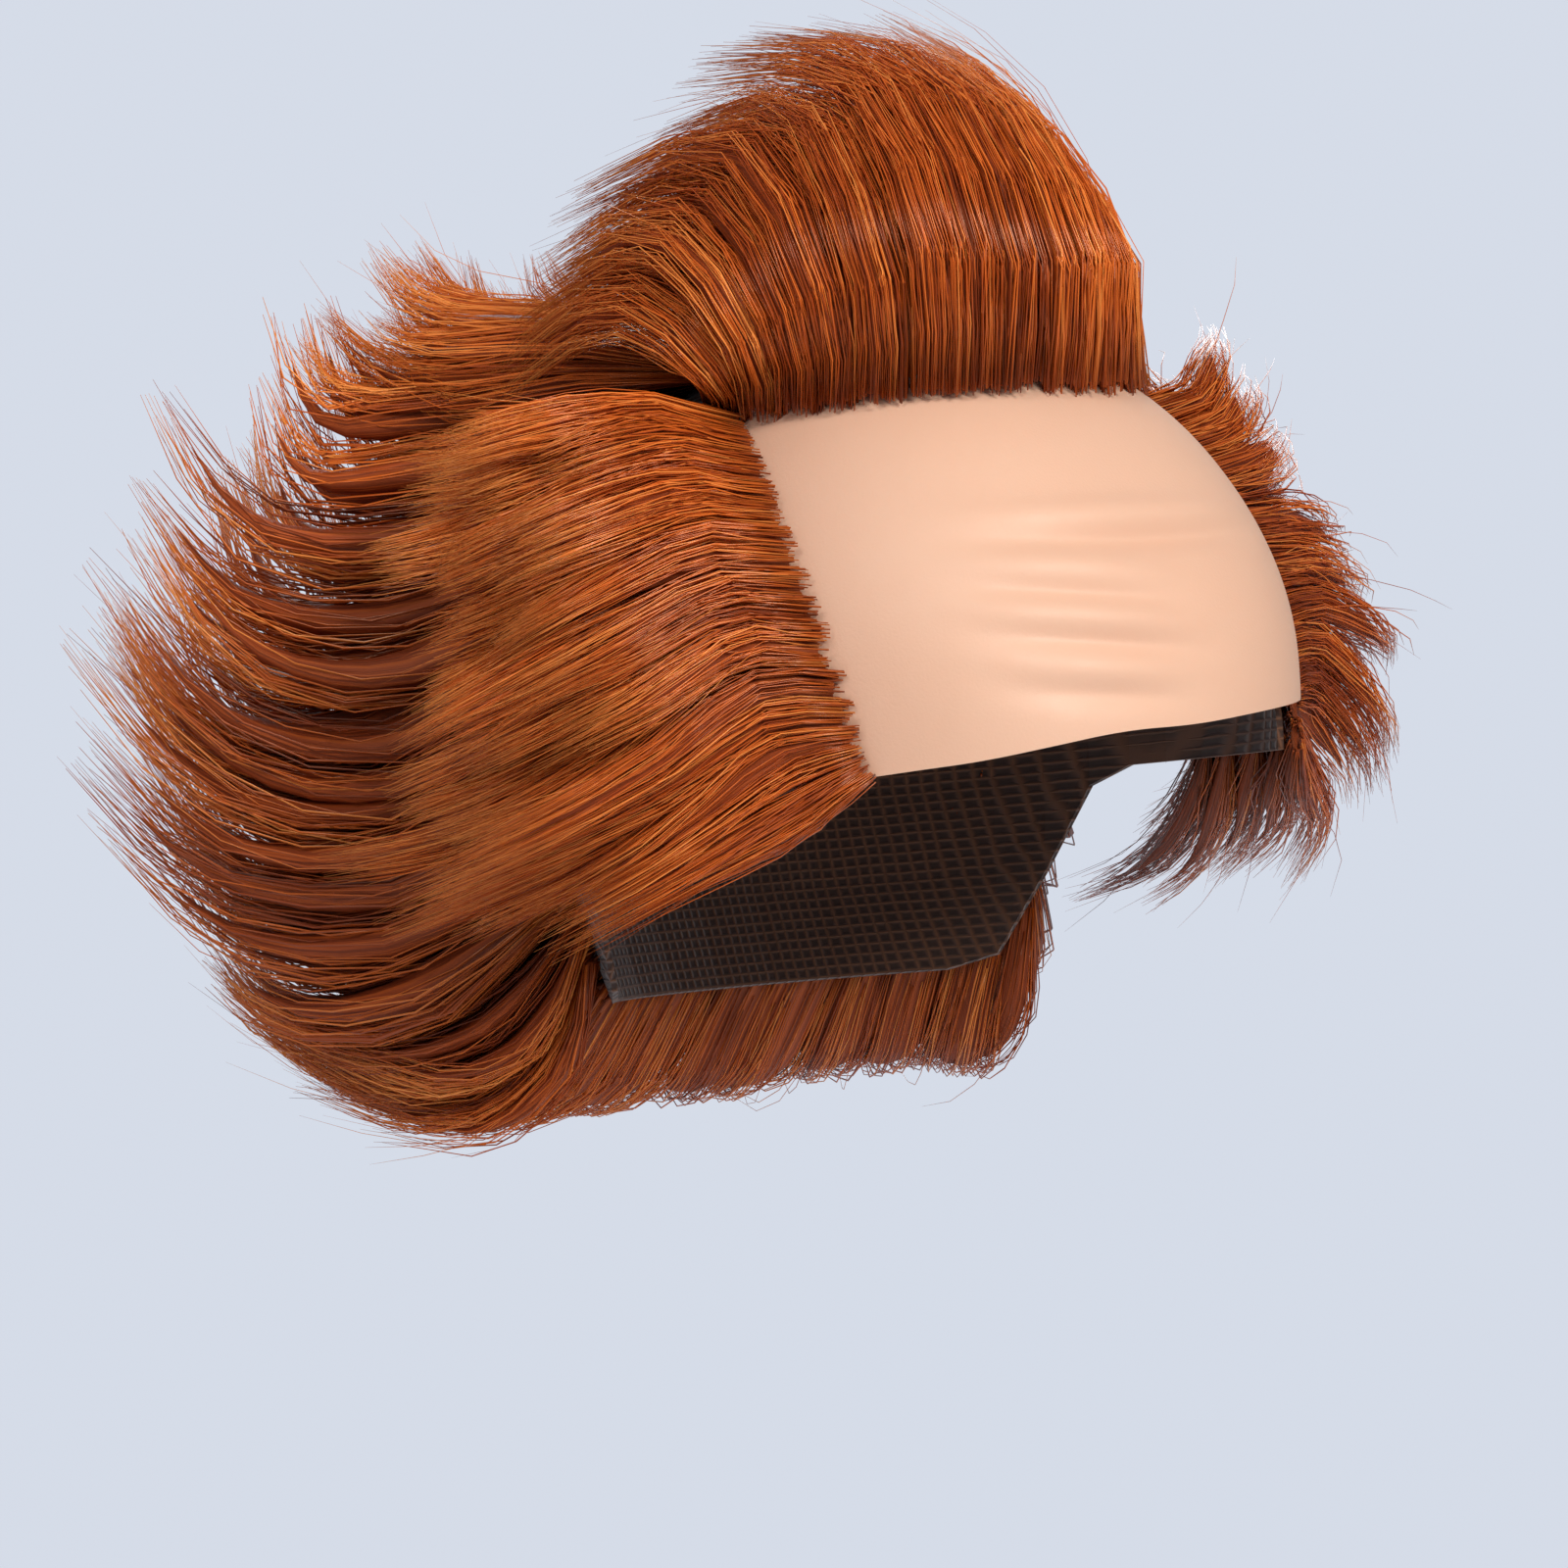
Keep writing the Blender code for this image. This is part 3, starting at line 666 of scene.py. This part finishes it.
@dataclass(frozen=True)
class VinylFinish:
    """Satin flesh-coloured vinyl with a faint uneven tint."""

    base: Colour = (0.725, 0.440, 0.300)
    warm: Colour = (0.690, 0.385, 0.250)
    roughness: float = 0.54

    def material(self) -> bpy.types.Material:
        """Build the finish."""
        material, sheet, shader = new_material("forehead_vinyl")
        place = sheet.add("TexCoord").outputs["Object"]
        cloud = mottle(sheet, place, 22.0, 0.0, 0.35)
        colour = sheet.mix(cloud, self.base, self.warm)
        sheet.tree.links.new(colour, shader.inputs["Base Color"])
        gloss = mottle(sheet, place, 160.0, self.roughness - 0.04, self.roughness + 0.05)
        sheet.tree.links.new(gloss, shader.inputs["Roughness"])
        grain = mottle(sheet, place, 1400.0, 0.0, 1.0)
        bump = sheet.add("Bump", {"Height": grain, "Strength": 0.12, "Distance": 0.0002})
        sheet.tree.links.new(bump.outputs[0], shader.inputs["Normal"])
        shader.inputs["Subsurface Weight"].default_value = 0.12
        shader.inputs["Subsurface Radius"].default_value = (0.006, 0.003, 0.002)
        shader.inputs["Subsurface Scale"].default_value = 0.5
        return material


@dataclass(frozen=True)
class NetFinish:
    """Dark knitted net: crossed threads over a soft ground."""

    ground: Colour = (0.030, 0.010, 0.004)
    thread: Colour = (0.130, 0.050, 0.020)
    mesh_size: float = 0.0013

    def material(self) -> bpy.types.Material:
        """Build the finish."""
        material, sheet, shader = new_material("cap_net")
        place = sheet.add("TexCoord").outputs["Object"]
        threads = []
        for axis in ("X", "Z"):
            wave = sheet.add(
                "TexWave",
                {"Vector": place, "Scale": 0.16 / self.mesh_size, "Distortion": 0.6, "Detail": 1.0},
                wave_type="BANDS",
                bands_direction=axis,
            )
            threads.append(wave.outputs["Fac"])
        weave = sheet.math("MAXIMUM", threads[0], threads[1])
        sharp = sheet.math("POWER", weave, 3.0)
        colour = sheet.mix(sharp, self.ground, self.thread)
        sheet.tree.links.new(colour, shader.inputs["Base Color"])
        bump = sheet.add("Bump", {"Height": sharp, "Strength": 0.8, "Distance": 0.0006})
        sheet.tree.links.new(bump.outputs[0], shader.inputs["Normal"])
        shader.inputs["Roughness"].default_value = 0.85
        shader.inputs["Sheen Weight"].default_value = 0.25
        return material


@dataclass(frozen=True)
class FloorFinish:
    """Plain pale studio floor."""

    colour: Colour = (0.70, 0.72, 0.76)

    def material(self) -> bpy.types.Material:
        """Build the finish."""
        material, sheet, shader = new_material("studio_floor")
        place = sheet.add("TexCoord").outputs["Object"]
        gloss = mottle(sheet, place, 3.0, 0.70, 0.80)
        sheet.tree.links.new(gloss, shader.inputs["Roughness"])
        shader.inputs["Base Color"].default_value = (*self.colour, 1.0)
        return material


def deselect_all() -> None:
    """Leave object mode with nothing selected."""
    if bpy.context.object and bpy.context.object.mode != "OBJECT":
        bpy.ops.object.mode_set(mode="OBJECT")
    bpy.ops.object.select_all(action="DESELECT")


def skin_mesh(name: str, rings: Array, tone: Array, tone_width: float, root: float) -> bpy.types.Object:
    """Join closed tubes into one mesh object.

    Args:
        name: Name of the object.
        rings: Corners by tube, step along it, side and axis.
        tone: Start of each tube's span across the UV map.
        tone_width: Width of that span.
        root: Where the tubes start along the UV map, from 0, darkest under the painted root shade, to 1.

    Returns:
        The new object.
    """
    count, steps, sides = rings.shape[:3]
    middle = rings[:, steps // 2]
    forward = rings[:, steps // 2 + 1].mean(axis=1) - rings[:, steps // 2 - 1].mean(axis=1)
    spin = np.cross(middle - middle.mean(axis=1, keepdims=True), np.roll(middle, -1, axis=1) - middle)
    turned = np.einsum("nk,nk->n", spin.sum(axis=1), forward) < 0.0
    rings = np.where(turned[:, None, None, None], rings[:, :, ::-1], rings)
    index = np.arange(count * steps * sides).reshape(count, steps, sides)
    lower, upper = index[:, :-1], index[:, 1:]
    quads = np.stack((lower, np.roll(lower, -1, axis=2), np.roll(upper, -1, axis=2), upper), axis=-1)
    loops = np.concatenate((quads.ravel(), index[:, 0, ::-1].ravel(), index[:, -1].ravel()))
    sizes = np.concatenate((np.full(quads.size // 4, 4), np.full(2 * count, sides)))
    starts = np.concatenate(([0], np.cumsum(sizes)[:-1]))
    mesh = bpy.data.meshes.new(name)
    mesh.vertices.add(count * steps * sides)
    mesh.vertices.foreach_set("co", rings.reshape(-1).astype(np.float32))
    mesh.loops.add(len(loops))
    mesh.loops.foreach_set("vertex_index", loops.astype(np.int32))
    mesh.polygons.add(len(sizes))
    mesh.polygons.foreach_set("loop_start", starts.astype(np.int32))
    mesh.polygons.foreach_set("use_smooth", np.ones(len(sizes), dtype=bool))
    mesh.update(calc_edges=True)
    around = np.arange(sides) / sides
    quad_u = np.stack((around, around + 1.0 / sides, around + 1.0 / sides, around), axis=-1)
    quad_u = tone[:, None, None, None] + tone_width * np.broadcast_to(quad_u, (count, steps - 1, sides, 4))
    span = steps - 1.0
    rise = np.arange(steps - 1)[:, None, None] / span + np.array((0.0, 0.0, 1.0, 1.0)) / span
    quad_v = np.broadcast_to(root + (1.0 - root) * rise, (count, steps - 1, sides, 4))
    turn = math.tau * around
    cap_u = tone[:, None] + tone_width * (0.5 + 0.5 * np.cos(turn))
    cap_v = np.broadcast_to(0.01 + 0.01 * np.sin(turn), (count, sides))
    first_v = root + cap_v
    u = np.concatenate((quad_u.ravel(), cap_u[:, ::-1].ravel(), cap_u.ravel()))
    v = np.concatenate((quad_v.ravel(), first_v[:, ::-1].ravel(), 0.98 + cap_v.ravel()))
    layer = mesh.uv_layers.new(name=UV_NAME)
    layer.data.foreach_set("uv", np.stack((u, v), axis=-1).ravel().astype(np.float32))
    item = bpy.data.objects.new(name, mesh)
    bpy.context.scene.collection.objects.link(item)
    return item


@dataclass
class HairField:
    """Guides over a stretch of scalp: sheets one behind the other, each read across its rows."""

    sheets: list[tuple[Guide, ...]]
    length: float = 0.100
    lift: float = 0.0032
    spare: float = 0.10

    def guides(self, depth: Array, share: Array) -> Array:
        """Read the guides between sheets and rows.

        Args:
            depth: Place between the first sheet, 0, and the last, 1.
            share: Place across the rows, from 0 to 1.

        Returns:
            A guide row for each place.
        """
        read = np.stack([smooth_between(np.array(sheet, dtype=float), share) for sheet in self.sheets])
        place = np.clip(depth, 0.0, 1.0) * (len(self.sheets) - 1)
        index = np.minimum(place.astype(int), max(0, len(self.sheets) - 2))
        part = (place - index)[:, None]
        pick = np.arange(len(place))
        after = np.minimum(index + 1, len(self.sheets) - 1)
        return read[index, pick] * (1.0 - part) + read[after, pick] * part

    def paths(self, depth: Array, share: Array, steps: int) -> Array:
        """Middle lines that start on the scalp.

        Args:
            depth: Place between sheets.
            share: Place across the rows.
            steps: Points on each line.

        Returns:
            Points by line and step.
        """
        guides = self.guides(depth, share)
        root = FORM.point(guides[:, 0], guides[:, 1]) + FORM.normal(guides[:, 0], guides[:, 1]) * self.lift
        offsets = guides[:, 2:].reshape(-1, 3, 3) * np.array((-1.0, 1.0, 1.0)) * self.length
        offsets[:, 2] += self.spare * (offsets[:, 2] - offsets[:, 1])
        controls = np.concatenate((root[:, None], root[:, None] + offsets), axis=1)
        along = np.linspace(0.0, 1.0, steps)
        return np.moveaxis(smooth_between(np.moveaxis(controls, 1, 0), along), 0, 1)


@dataclass
class LockFrames:
    """Middle lines of a tuft's locks with their width, thickness and directions."""

    centre: Array
    across: Array
    normal: Array
    half_width: Array
    half_thickness: Array
    layer: Array
    edge: Array

    def at(self, lock: Array, along: Array) -> tuple[Array, Array, Array, Array, Array]:
        """Read the frames of chosen locks at places along them.

        Args:
            lock: Number of a lock for each line.
            along: Places by line and step, from 0 to 1.

        Returns:
            Centre, across, normal, half width and half thickness.
        """
        last = self.centre.shape[1] - 1
        place = np.clip(along, 0.0, 1.0) * last
        index = np.minimum(place.astype(int), last - 1)
        part = place - index
        rows = lock[:, None]
        read = []
        for values in (self.centre, self.across, self.normal, self.half_width, self.half_thickness):
            share = part if values.ndim == 2 else part[..., None]
            read.append(values[rows, index] * (1.0 - share) + values[rows, index + 1] * share)
        return tuple(read)


@dataclass
class HairTuft:
    """Combed hair that stands for one hair solid: lock cores with strands along them."""

    name: str
    node: str
    hair: HairField
    layers: int
    across: int
    strands: int
    thickness: float = 0.010
    lap: float = 1.25
    gather: float = 0.70
    reach: tuple[float, float] = (0.90, 1.0)
    sway: float = 0.004
    stray: float = 0.0012
    flyaway: float = 0.07
    # Painted shade at the roots: a larger value starts the tubes lower on the UV map, so more of their
    # length is darkened.
    painted_root_shade: float = 0.22
    root_spread: float = 0.0035
    radius: float = 0.00021
    first: float = 0.0
    last: float = 1.0
    start: float = 0.5
    seed: int = 1
    jitter: float = 0.22
    stagger: float = 0.25
    core_reach: float = 0.86
    core_width: float = 0.80
    core_depth: float = 0.60
    wild: tuple[float, float] = (3.0, 7.0)
    ripple: float = 0.0006
    mean_tone: float = 0.49
    clump_tone: float = 0.14
    fine_steps: int = 25
    core_steps: int = 11
    core_sides: int = 10
    strand_steps: int = 7

    def frames(self, rng: np.random.Generator) -> tuple[LockFrames, Array]:
        """Lay out the locks.

        Args:
            rng: Source of the small differences between locks.

        Returns:
            The frames of the locks and the reach of each.
        """
        layer, place = np.meshgrid(np.arange(self.layers), np.arange(self.across), indexing="ij")
        layer, place = layer.ravel(), place.ravel()
        count = len(layer)
        spacing = 1.0 / self.across
        uneven = rng.uniform(-self.jitter, self.jitter, count)
        share = (place + self.start + self.stagger * (layer % 2) + uneven) * spacing
        share = np.clip(share, 0.12 * spacing, 1.0 - 0.12 * spacing)
        depth = (layer + rng.uniform(-0.25, 0.25, count) * (layer > 0)) / max(1, self.layers - 1)
        depth = self.first + (self.last - self.first) * depth
        centre = self.hair.paths(depth, share, self.fine_steps)
        before = self.hair.paths(depth, share - 0.5 * spacing, self.fine_steps)
        after = self.hair.paths(depth, share + 0.5 * spacing, self.fine_steps)
        along = np.linspace(0.0, 1.0, self.fine_steps)[None, :]
        shift = rng.normal(0.0, self.sway, (count, 1, 3))
        centre = centre + shift * (along**2)[..., None]
        width = np.linalg.norm(after - before, axis=-1)
        forward = unit(np.gradient(centre, axis=1))
        side = after - before
        side = unit(side - forward * np.sum(side * forward, axis=-1, keepdims=True))
        normal = np.cross(side, forward)
        away = np.sum(normal * (centre - np.array((0.0, 0.0, -FORM.crown_rise))), axis=-1).mean(axis=1)
        normal = normal * np.where(away < 0.0, -1.0, 1.0)[:, None, None]
        narrow = 1.0 - self.gather * ease(along, 0.30, 1.0)
        half_width = 0.5 * self.lap * width * narrow
        swell = (0.30 + 0.70 * ease(along, 0.0, 0.35)) * (1.0 - 0.75 * along**3)
        half_thickness = 0.5 * self.thickness * swell * np.ones((count, 1))
        reach = rng.uniform(*self.reach, count)
        behind = self.hair.paths(depth + 0.2, share, 2)[:, 0]
        edge = unit(centre[:, 0] - behind) * (layer == 0)[:, None]
        return LockFrames(centre, side, normal, half_width, half_thickness, layer, edge), reach

    def build_cores(self, frames: LockFrames, reach: Array) -> bpy.types.Object:
        """Make the smooth cores.

        Args:
            frames: Frames of the locks.
            reach: Share of its line that each lock takes.

        Returns:
            The joined cores.
        """
        count = len(reach)
        along = np.linspace(0.0, 1.0, self.core_steps)[None, :] * (self.core_reach * reach)[:, None]
        centre, side, normal, half_width, half_thickness = frames.at(np.arange(count), along)
        steps = np.linspace(0.0, 1.0, self.core_steps)
        close = (1.0 - 0.45 * steps**2) * (1.0 - 0.97 * steps**4)
        turn = math.tau * np.arange(self.core_sides) / self.core_sides
        wide = self.core_width * (half_width * close)[..., None, None] * side[:, :, None]
        thick = self.core_depth * (half_thickness * close)[..., None, None] * normal[:, :, None]
        rings = centre[:, :, None] + wide * np.cos(turn)[:, None] + thick * np.sin(turn)[:, None]
        return skin_mesh(self.name + "_locks", rings, np.zeros(count), 1.0, 0.5 - self.painted_root_shade)

    def build_strands(self, frames: LockFrames, reach: Array, rng: np.random.Generator) -> bpy.types.Object:
        """Make the strands.

        Args:
            frames: Frames of the locks.
            reach: Share of its line that each lock takes.
            rng: Source of the small differences between strands.

        Returns:
            The joined strands.
        """
        count = self.strands
        locks = len(reach)
        size = frames.half_width.mean(axis=1) + frames.half_thickness.mean(axis=1)
        lock = rng.choice(locks, count, p=size / size.sum())
        loose = rng.random(count) < self.flyaway
        steps = np.linspace(0.0, 1.0, self.strand_steps)[None, :]
        length = reach[lock] * rng.uniform(0.88, 1.0, count)
        start = rng.uniform(0.0, 0.12, count) * (rng.random(count) < 0.5) * (frames.layer[lock] > 0)
        along = start[:, None] + (length - start)[:, None] * steps
        centre, side, normal, half_width, half_thickness = frames.at(lock, along)
        turn = rng.uniform(0.0, math.tau, count)
        outer = rng.random(count) < 0.5
        turn = np.where(outer, np.abs((turn + math.pi) % math.tau - math.pi), turn)
        far = rng.uniform(0.80, 1.12, count)
        drift = rng.normal(0.0, 0.22, (2, count))
        beside = (far * np.cos(turn))[:, None] + drift[0][:, None] * steps
        above = (far * np.sin(turn))[:, None] + drift[1][:, None] * steps
        path = centre + (beside * half_width)[..., None] * side
        path = path + (above * half_thickness)[..., None] * normal
        wild = rng.uniform(*self.wild, count)
        wander = np.clip(rng.normal(0.0, 1.0, (count, 3)), -1.5, 1.5)
        wander = wander * np.where(loose, wild * self.stray, self.stray)[:, None]
        path += wander[:, None] * (steps**1.5)[..., None]
        lean = frames.edge[lock] * (self.root_spread * rng.random(count) ** 2)[:, None]
        path += lean[:, None] * ((1.0 - steps) ** 4)[..., None]
        ripple = rng.normal(0.0, self.ripple, (count, 3))
        phase = rng.uniform(0.0, math.tau, count)[:, None]
        wave = np.sin(math.tau * 1.2 * steps + phase) * ease(steps, 0.05, 0.4)
        path += ripple[:, None] * wave[..., None]
        forward = unit(np.gradient(path, axis=1))
        first = unit(normal - forward * np.sum(normal * forward, axis=-1, keepdims=True))
        second = np.cross(forward, first)
        thick = self.radius * rng.uniform(0.75, 1.25, count)[:, None]
        thick = thick * np.where(loose, 0.6, 1.0)[:, None] * (1.0 - 0.82 * steps**4)
        turns = math.tau * np.arange(3) / 3.0
        rings = path[:, :, None] + thick[..., None, None] * (
            first[:, :, None] * np.cos(turns)[:, None] + second[:, :, None] * np.sin(turns)[:, None]
        )
        shade = rng.normal(0.0, 0.09, locks)[lock]
        clump = self.clump_tone * np.sin(5.0 * turn + rng.uniform(0.0, math.tau, locks)[lock])
        # The last term is painted light and shade: strands on the upper side of their lock are lighter,
        # those under it darker.
        tone = self.mean_tone + shade + clump + rng.normal(0.0, 0.13, count) + 0.14 * np.sin(turn) * far
        tone = np.clip(tone, 0.02, 0.96)
        return skin_mesh(self.name + "_strands", rings, tone, 0.012, 0.5 - self.painted_root_shade)

    def build(self, finish: dict[str, bpy.types.Material]) -> None:
        """Build and place the tuft's pieces.

        Args:
            finish: Materials by name.
        """
        rng = np.random.default_rng(self.seed)
        frames, reach = self.frames(rng)
        cores = self.build_cores(frames, reach)
        cores.data.materials.append(finish["locks"])
        strands = self.build_strands(frames, reach, rng)
        strands.data.materials.append(finish["strands"])
        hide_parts(self.node)
        for item in (cores, strands):
            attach(item, "root")
            LOG.info("%s: %d faces", item.name, len(item.data.polygons))


@dataclass
class WigHair:
    """All the hair of the wig."""

    finish: HairFinish = field(default_factory=HairFinish)

    def tufts(self) -> list[HairTuft]:
        """Tufts in the order of the CAD's hair solids."""
        back = [all_round(row) for row in zip(BACK_SIDE, BACK_QUARTER, BACK_MIDDLE)]
        crown_high = tuple(
            guide._replace(up_1=guide.up_1 + 0.07, up_2=guide.up_2 + 0.12, up_3=guide.up_3 + 0.09)
            for guide in CROWN
        )
        crown = [carried_forward(row) for row in (all_round(crown_high), all_round(CROWN), back[0])]
        left = [mirrored(reshaped(SIDE_FRONT)), mirrored(reshaped(SIDE_REAR, sweep=0.42))]
        return [
            HairTuft(
                "quiff", "quiff_hair", HairField([QUIFF, QUIFF_REAR], spare=0.06), 3, 14, 4300,
                thickness=0.013, gather=0.45, reach=(0.93, 1.0), sway=0.002, painted_root_shade=0.08, seed=11,
            ),
            HairTuft(
                "side_right", "side_hair_right", HairField([SIDE_FRONT, SIDE_REAR], spare=0.30),
                4, 12, 4400, gather=0.50, reach=(0.68, 1.0), painted_root_shade=0.15, seed=21,
            ),
            HairTuft(
                "side_left", "side_hair_left", HairField(left),
                5, 10, 3200, gather=0.88, reach=(0.78, 1.0), sway=0.006, stray=0.0018, seed=22,
            ),
            HairTuft(
                "crown", "crown_hair", HairField(crown, spare=0.0), 4, 14, 3400,
                gather=0.86, reach=(0.84, 1.0), sway=0.007, last=0.85, painted_root_shade=0.05, seed=31,
            ),
            HairTuft(
                "back", "back_hair", HairField(back, spare=0.22), 12, 10, 5150,
                thickness=0.018, lap=1.45, gather=0.58, reach=(0.92, 1.0), sway=0.0065,
                start=0.2, painted_root_shade=0.38, radius=0.00033, seed=41,
            ),
            HairTuft(
                "nape", "nape_hair", HairField([back[-1], all_round(NAPE)]), 4, 14, 3000,
                gather=0.70, first=0.2, painted_root_shade=0.04, seed=51,
            ),
        ]

    def build(self) -> None:
        """Build every tuft."""
        finish = {"locks": self.finish.lock_material(), "strands": self.finish.strand_material()}
        for tuft in self.tufts():
            tuft.build(finish)


@dataclass
class ForeheadPiece:
    """Moulded vinyl forehead with soft brow folds, in the place of its CAD solid."""

    wall: float = 0.0015
    bulge: float = 0.007
    top: float = 0.80
    crease_depth: float = 0.0022
    crease_width: float = 0.0035
    columns: int = 72
    rows: int = 84

    def fold(self, across: Array, height: Array) -> Array:
        """Depth of the brow folds.

        Args:
            across: Place from the middle, -1 to 1.
            height: Height share.

        Returns:
            Depths in metres.
        """
        depth = np.zeros_like(across)
        for crease in CREASES:
            reach = (across - crease.middle) / crease.half_length
            fade = np.clip(1.0 - reach * reach, 0.0, 1.0) ** 2
            line = crease.height + crease.tilt * reach + crease.arch * reach * reach
            away = (height - line) * FORM.rim_depth / self.crease_width
            depth += crease.depth * fade * (np.exp(-(away**2)) - 0.6 * np.exp(-((away - 1.7) ** 2)))
        return self.crease_depth * depth

    def place(self, corners: Array) -> Array:
        """Lay flat corners on the brow.

        Args:
            corners: Flat corners from -1 to 1 across and up.

        Returns:
            Corners in the wig's frame.
        """
        across = corners[:, 0]
        up = (corners[:, 1] + 1.0) / 2.0
        edge_azimuth = [edge.azimuth for edge in BROW_EDGE]
        edge_height = [edge.height for edge in BROW_EDGE]
        low = smooth_read(-across * FORM.hairline(np.zeros(1)), edge_azimuth, edge_height)
        height = low + (self.top - low) * up
        azimuth = -across * FORM.hairline(height)
        middle = (1.0 - across * across) ** 2
        proud = self.bulge * middle * (1.0 - ease(height, 0.05, 0.62))
        lift = (proud - self.fold(across, height))[:, None]
        return FORM.point(azimuth, height) + FORM.normal(azimuth, height) * lift

    def build(self) -> None:
        """Shape a grid over the brow and give it its wall."""
        deselect_all()
        bpy.ops.mesh.primitive_grid_add(x_subdivisions=self.columns, y_subdivisions=self.rows, size=2.0)
        item = bpy.context.object
        item.name = "moulded_forehead"
        corners = np.empty(3 * len(item.data.vertices))
        item.data.vertices.foreach_get("co", corners)
        placed = self.place(corners.reshape(-1, 3))
        item.data.vertices.foreach_set("co", placed.ravel())
        item.data.update()
        face = item.data.polygons[len(item.data.polygons) // 2]
        if face.normal.dot(face.center - Vector((0.0, 0.0, -FORM.crown_rise))) < 0.0:
            item.data.flip_normals()
        wall = item.modifiers.new("wall", "SOLIDIFY")
        wall.thickness = self.wall
        wall.offset = 1.0
        wall.use_even_offset = True
        bpy.ops.object.modifier_apply(modifier=wall.name)
        bpy.ops.object.shade_smooth_by_angle(angle=math.radians(50.0))
        item.data.materials.append(VinylFinish().material())
        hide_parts("forehead_piece")
        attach(item, "root")
        LOG.info("%s: %d faces", item.name, len(item.data.polygons))


@dataclass
class NetCap:
    """The CAD's own cap, dressed as net."""

    def build(self) -> None:
        """Give the cap its finish."""
        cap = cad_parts["wig_cap"]
        cap.data.materials.clear()
        cap.data.materials.append(NetFinish().material())
        LOG.info("%s: net finish", cap.name)


@dataclass
class Studio:
    """Pale floor, soft lights and the camera at the photo's angle."""

    azimuth: float = -37.5
    roll: float = -4.6
    distance: float = 1.2
    lens: float = 112.05
    aim: tuple[float, float, float] = (-0.0313, 0.0140, -0.126)
    floor_depth: float = 0.60
    floor_radius: float = 1.35
    backdrop: Colour = (0.655, 0.700, 0.790)
    air: float = 0.42

    def build_floor(self) -> None:
        """Round floor with a rolled edge."""
        deselect_all()
        bpy.ops.mesh.primitive_cylinder_add(
            vertices=96, radius=self.floor_radius, depth=0.02, location=(0.0, 0.0, -self.floor_depth - 0.01)
        )
        floor = bpy.context.object
        floor.name = "studio_floor"
        bpy.ops.object.transform_apply(location=True)
        edge = floor.modifiers.new("edge", "BEVEL")
        edge.width = 0.006
        edge.segments = 3
        bpy.ops.object.modifier_apply(modifier=edge.name)
        floor.data.materials.append(FloorFinish().material())

    def build_camera(self) -> None:
        """Camera that sees the wig as the photo does."""
        turn = math.radians(self.azimuth)
        back = Vector((math.sin(turn), -math.cos(turn), 0.0))
        right = Vector((math.cos(turn), math.sin(turn), 0.0))
        roll = math.radians(self.roll)
        level = Vector((0.0, 0.0, 1.0))
        rolled_right = right * math.cos(roll) + level * math.sin(roll)
        rolled_up = -right * math.sin(roll) + level * math.cos(roll)
        place = Vector((0.0, 0.0, self.aim[2])) + back * self.distance
        target = Vector((0.0, 0.0, self.aim[2])) + rolled_right * self.aim[0] + rolled_up * self.aim[1]
        away = (place - target).normalized()
        side = rolled_up.cross(away).normalized()
        upward = away.cross(side)
        data = bpy.data.cameras.new("photo_camera")
        data.lens = self.lens
        data.sensor_width = 36.0
        camera = bpy.data.objects.new("photo_camera", data)
        bpy.context.scene.collection.objects.link(camera)
        turned = Matrix((side, upward, away)).transposed().to_4x4()
        camera.matrix_world = Matrix.Translation(place) @ turned
        bpy.context.scene.camera = camera

    def add_light(self, name: str, place: Vector, size: float, power: float, colour: Colour) -> None:
        """Add a soft square light that looks at the wig.

        Args:
            name: Name of the light.
            place: Where it stands.
            size: Length of its side.
            power: Watts.
            colour: Its colour.
        """
        data = bpy.data.lights.new(name, "AREA")
        data.size = size
        data.energy = power
        data.color = colour
        light = bpy.data.objects.new(name, data)
        light.location = place
        aim = Vector((0.0, 0.0, -0.08)) - place
        light.rotation_euler = aim.to_track_quat("-Z", "Y").to_euler()
        bpy.context.scene.collection.objects.link(light)

    def build_world(self) -> None:
        """Pale bluish air all round."""
        world = bpy.data.worlds.new("studio_air")
        world.use_nodes = True
        ground = world.node_tree.nodes["Background"]
        ground.inputs["Color"].default_value = (*self.backdrop, 1.0)
        sheet = NodeSheet(world.node_tree)
        seen = sheet.add("LightPath").outputs["Is Camera Ray"]
        strength = sheet.math("MULTIPLY_ADD", seen, 1.02 - self.air, self.air)
        world.node_tree.links.new(strength, ground.inputs["Strength"])
        bpy.context.scene.world = world

    def build(self) -> None:
        """Build the studio."""
        self.build_floor()
        self.build_camera()
        self.add_light("key_light", Vector((-0.15, -1.6, 0.6)), 0.6, 24.0, (1.0, 0.97, 0.93))
        self.add_light("side_light", Vector((-1.4, -0.8, 0.9)), 0.6, 10.0, (1.0, 0.98, 0.96))
        self.add_light("back_light", Vector((0.9, 1.2, 0.9)), 0.8, 12.0, (0.95, 0.97, 1.0))
        self.build_world()
        bpy.context.scene.view_settings.view_transform = "Standard"
        LOG.info("studio: camera, floor and lights")


def main() -> None:
    """Build the wig's looks and its studio."""
    logging.basicConfig(level=logging.INFO, format="%(name)s %(message)s")
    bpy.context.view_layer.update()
    NetCap().build()
    ForeheadPiece().build()
    WigHair().build()
    Studio().build()


if __name__ == "__main__":
    main()
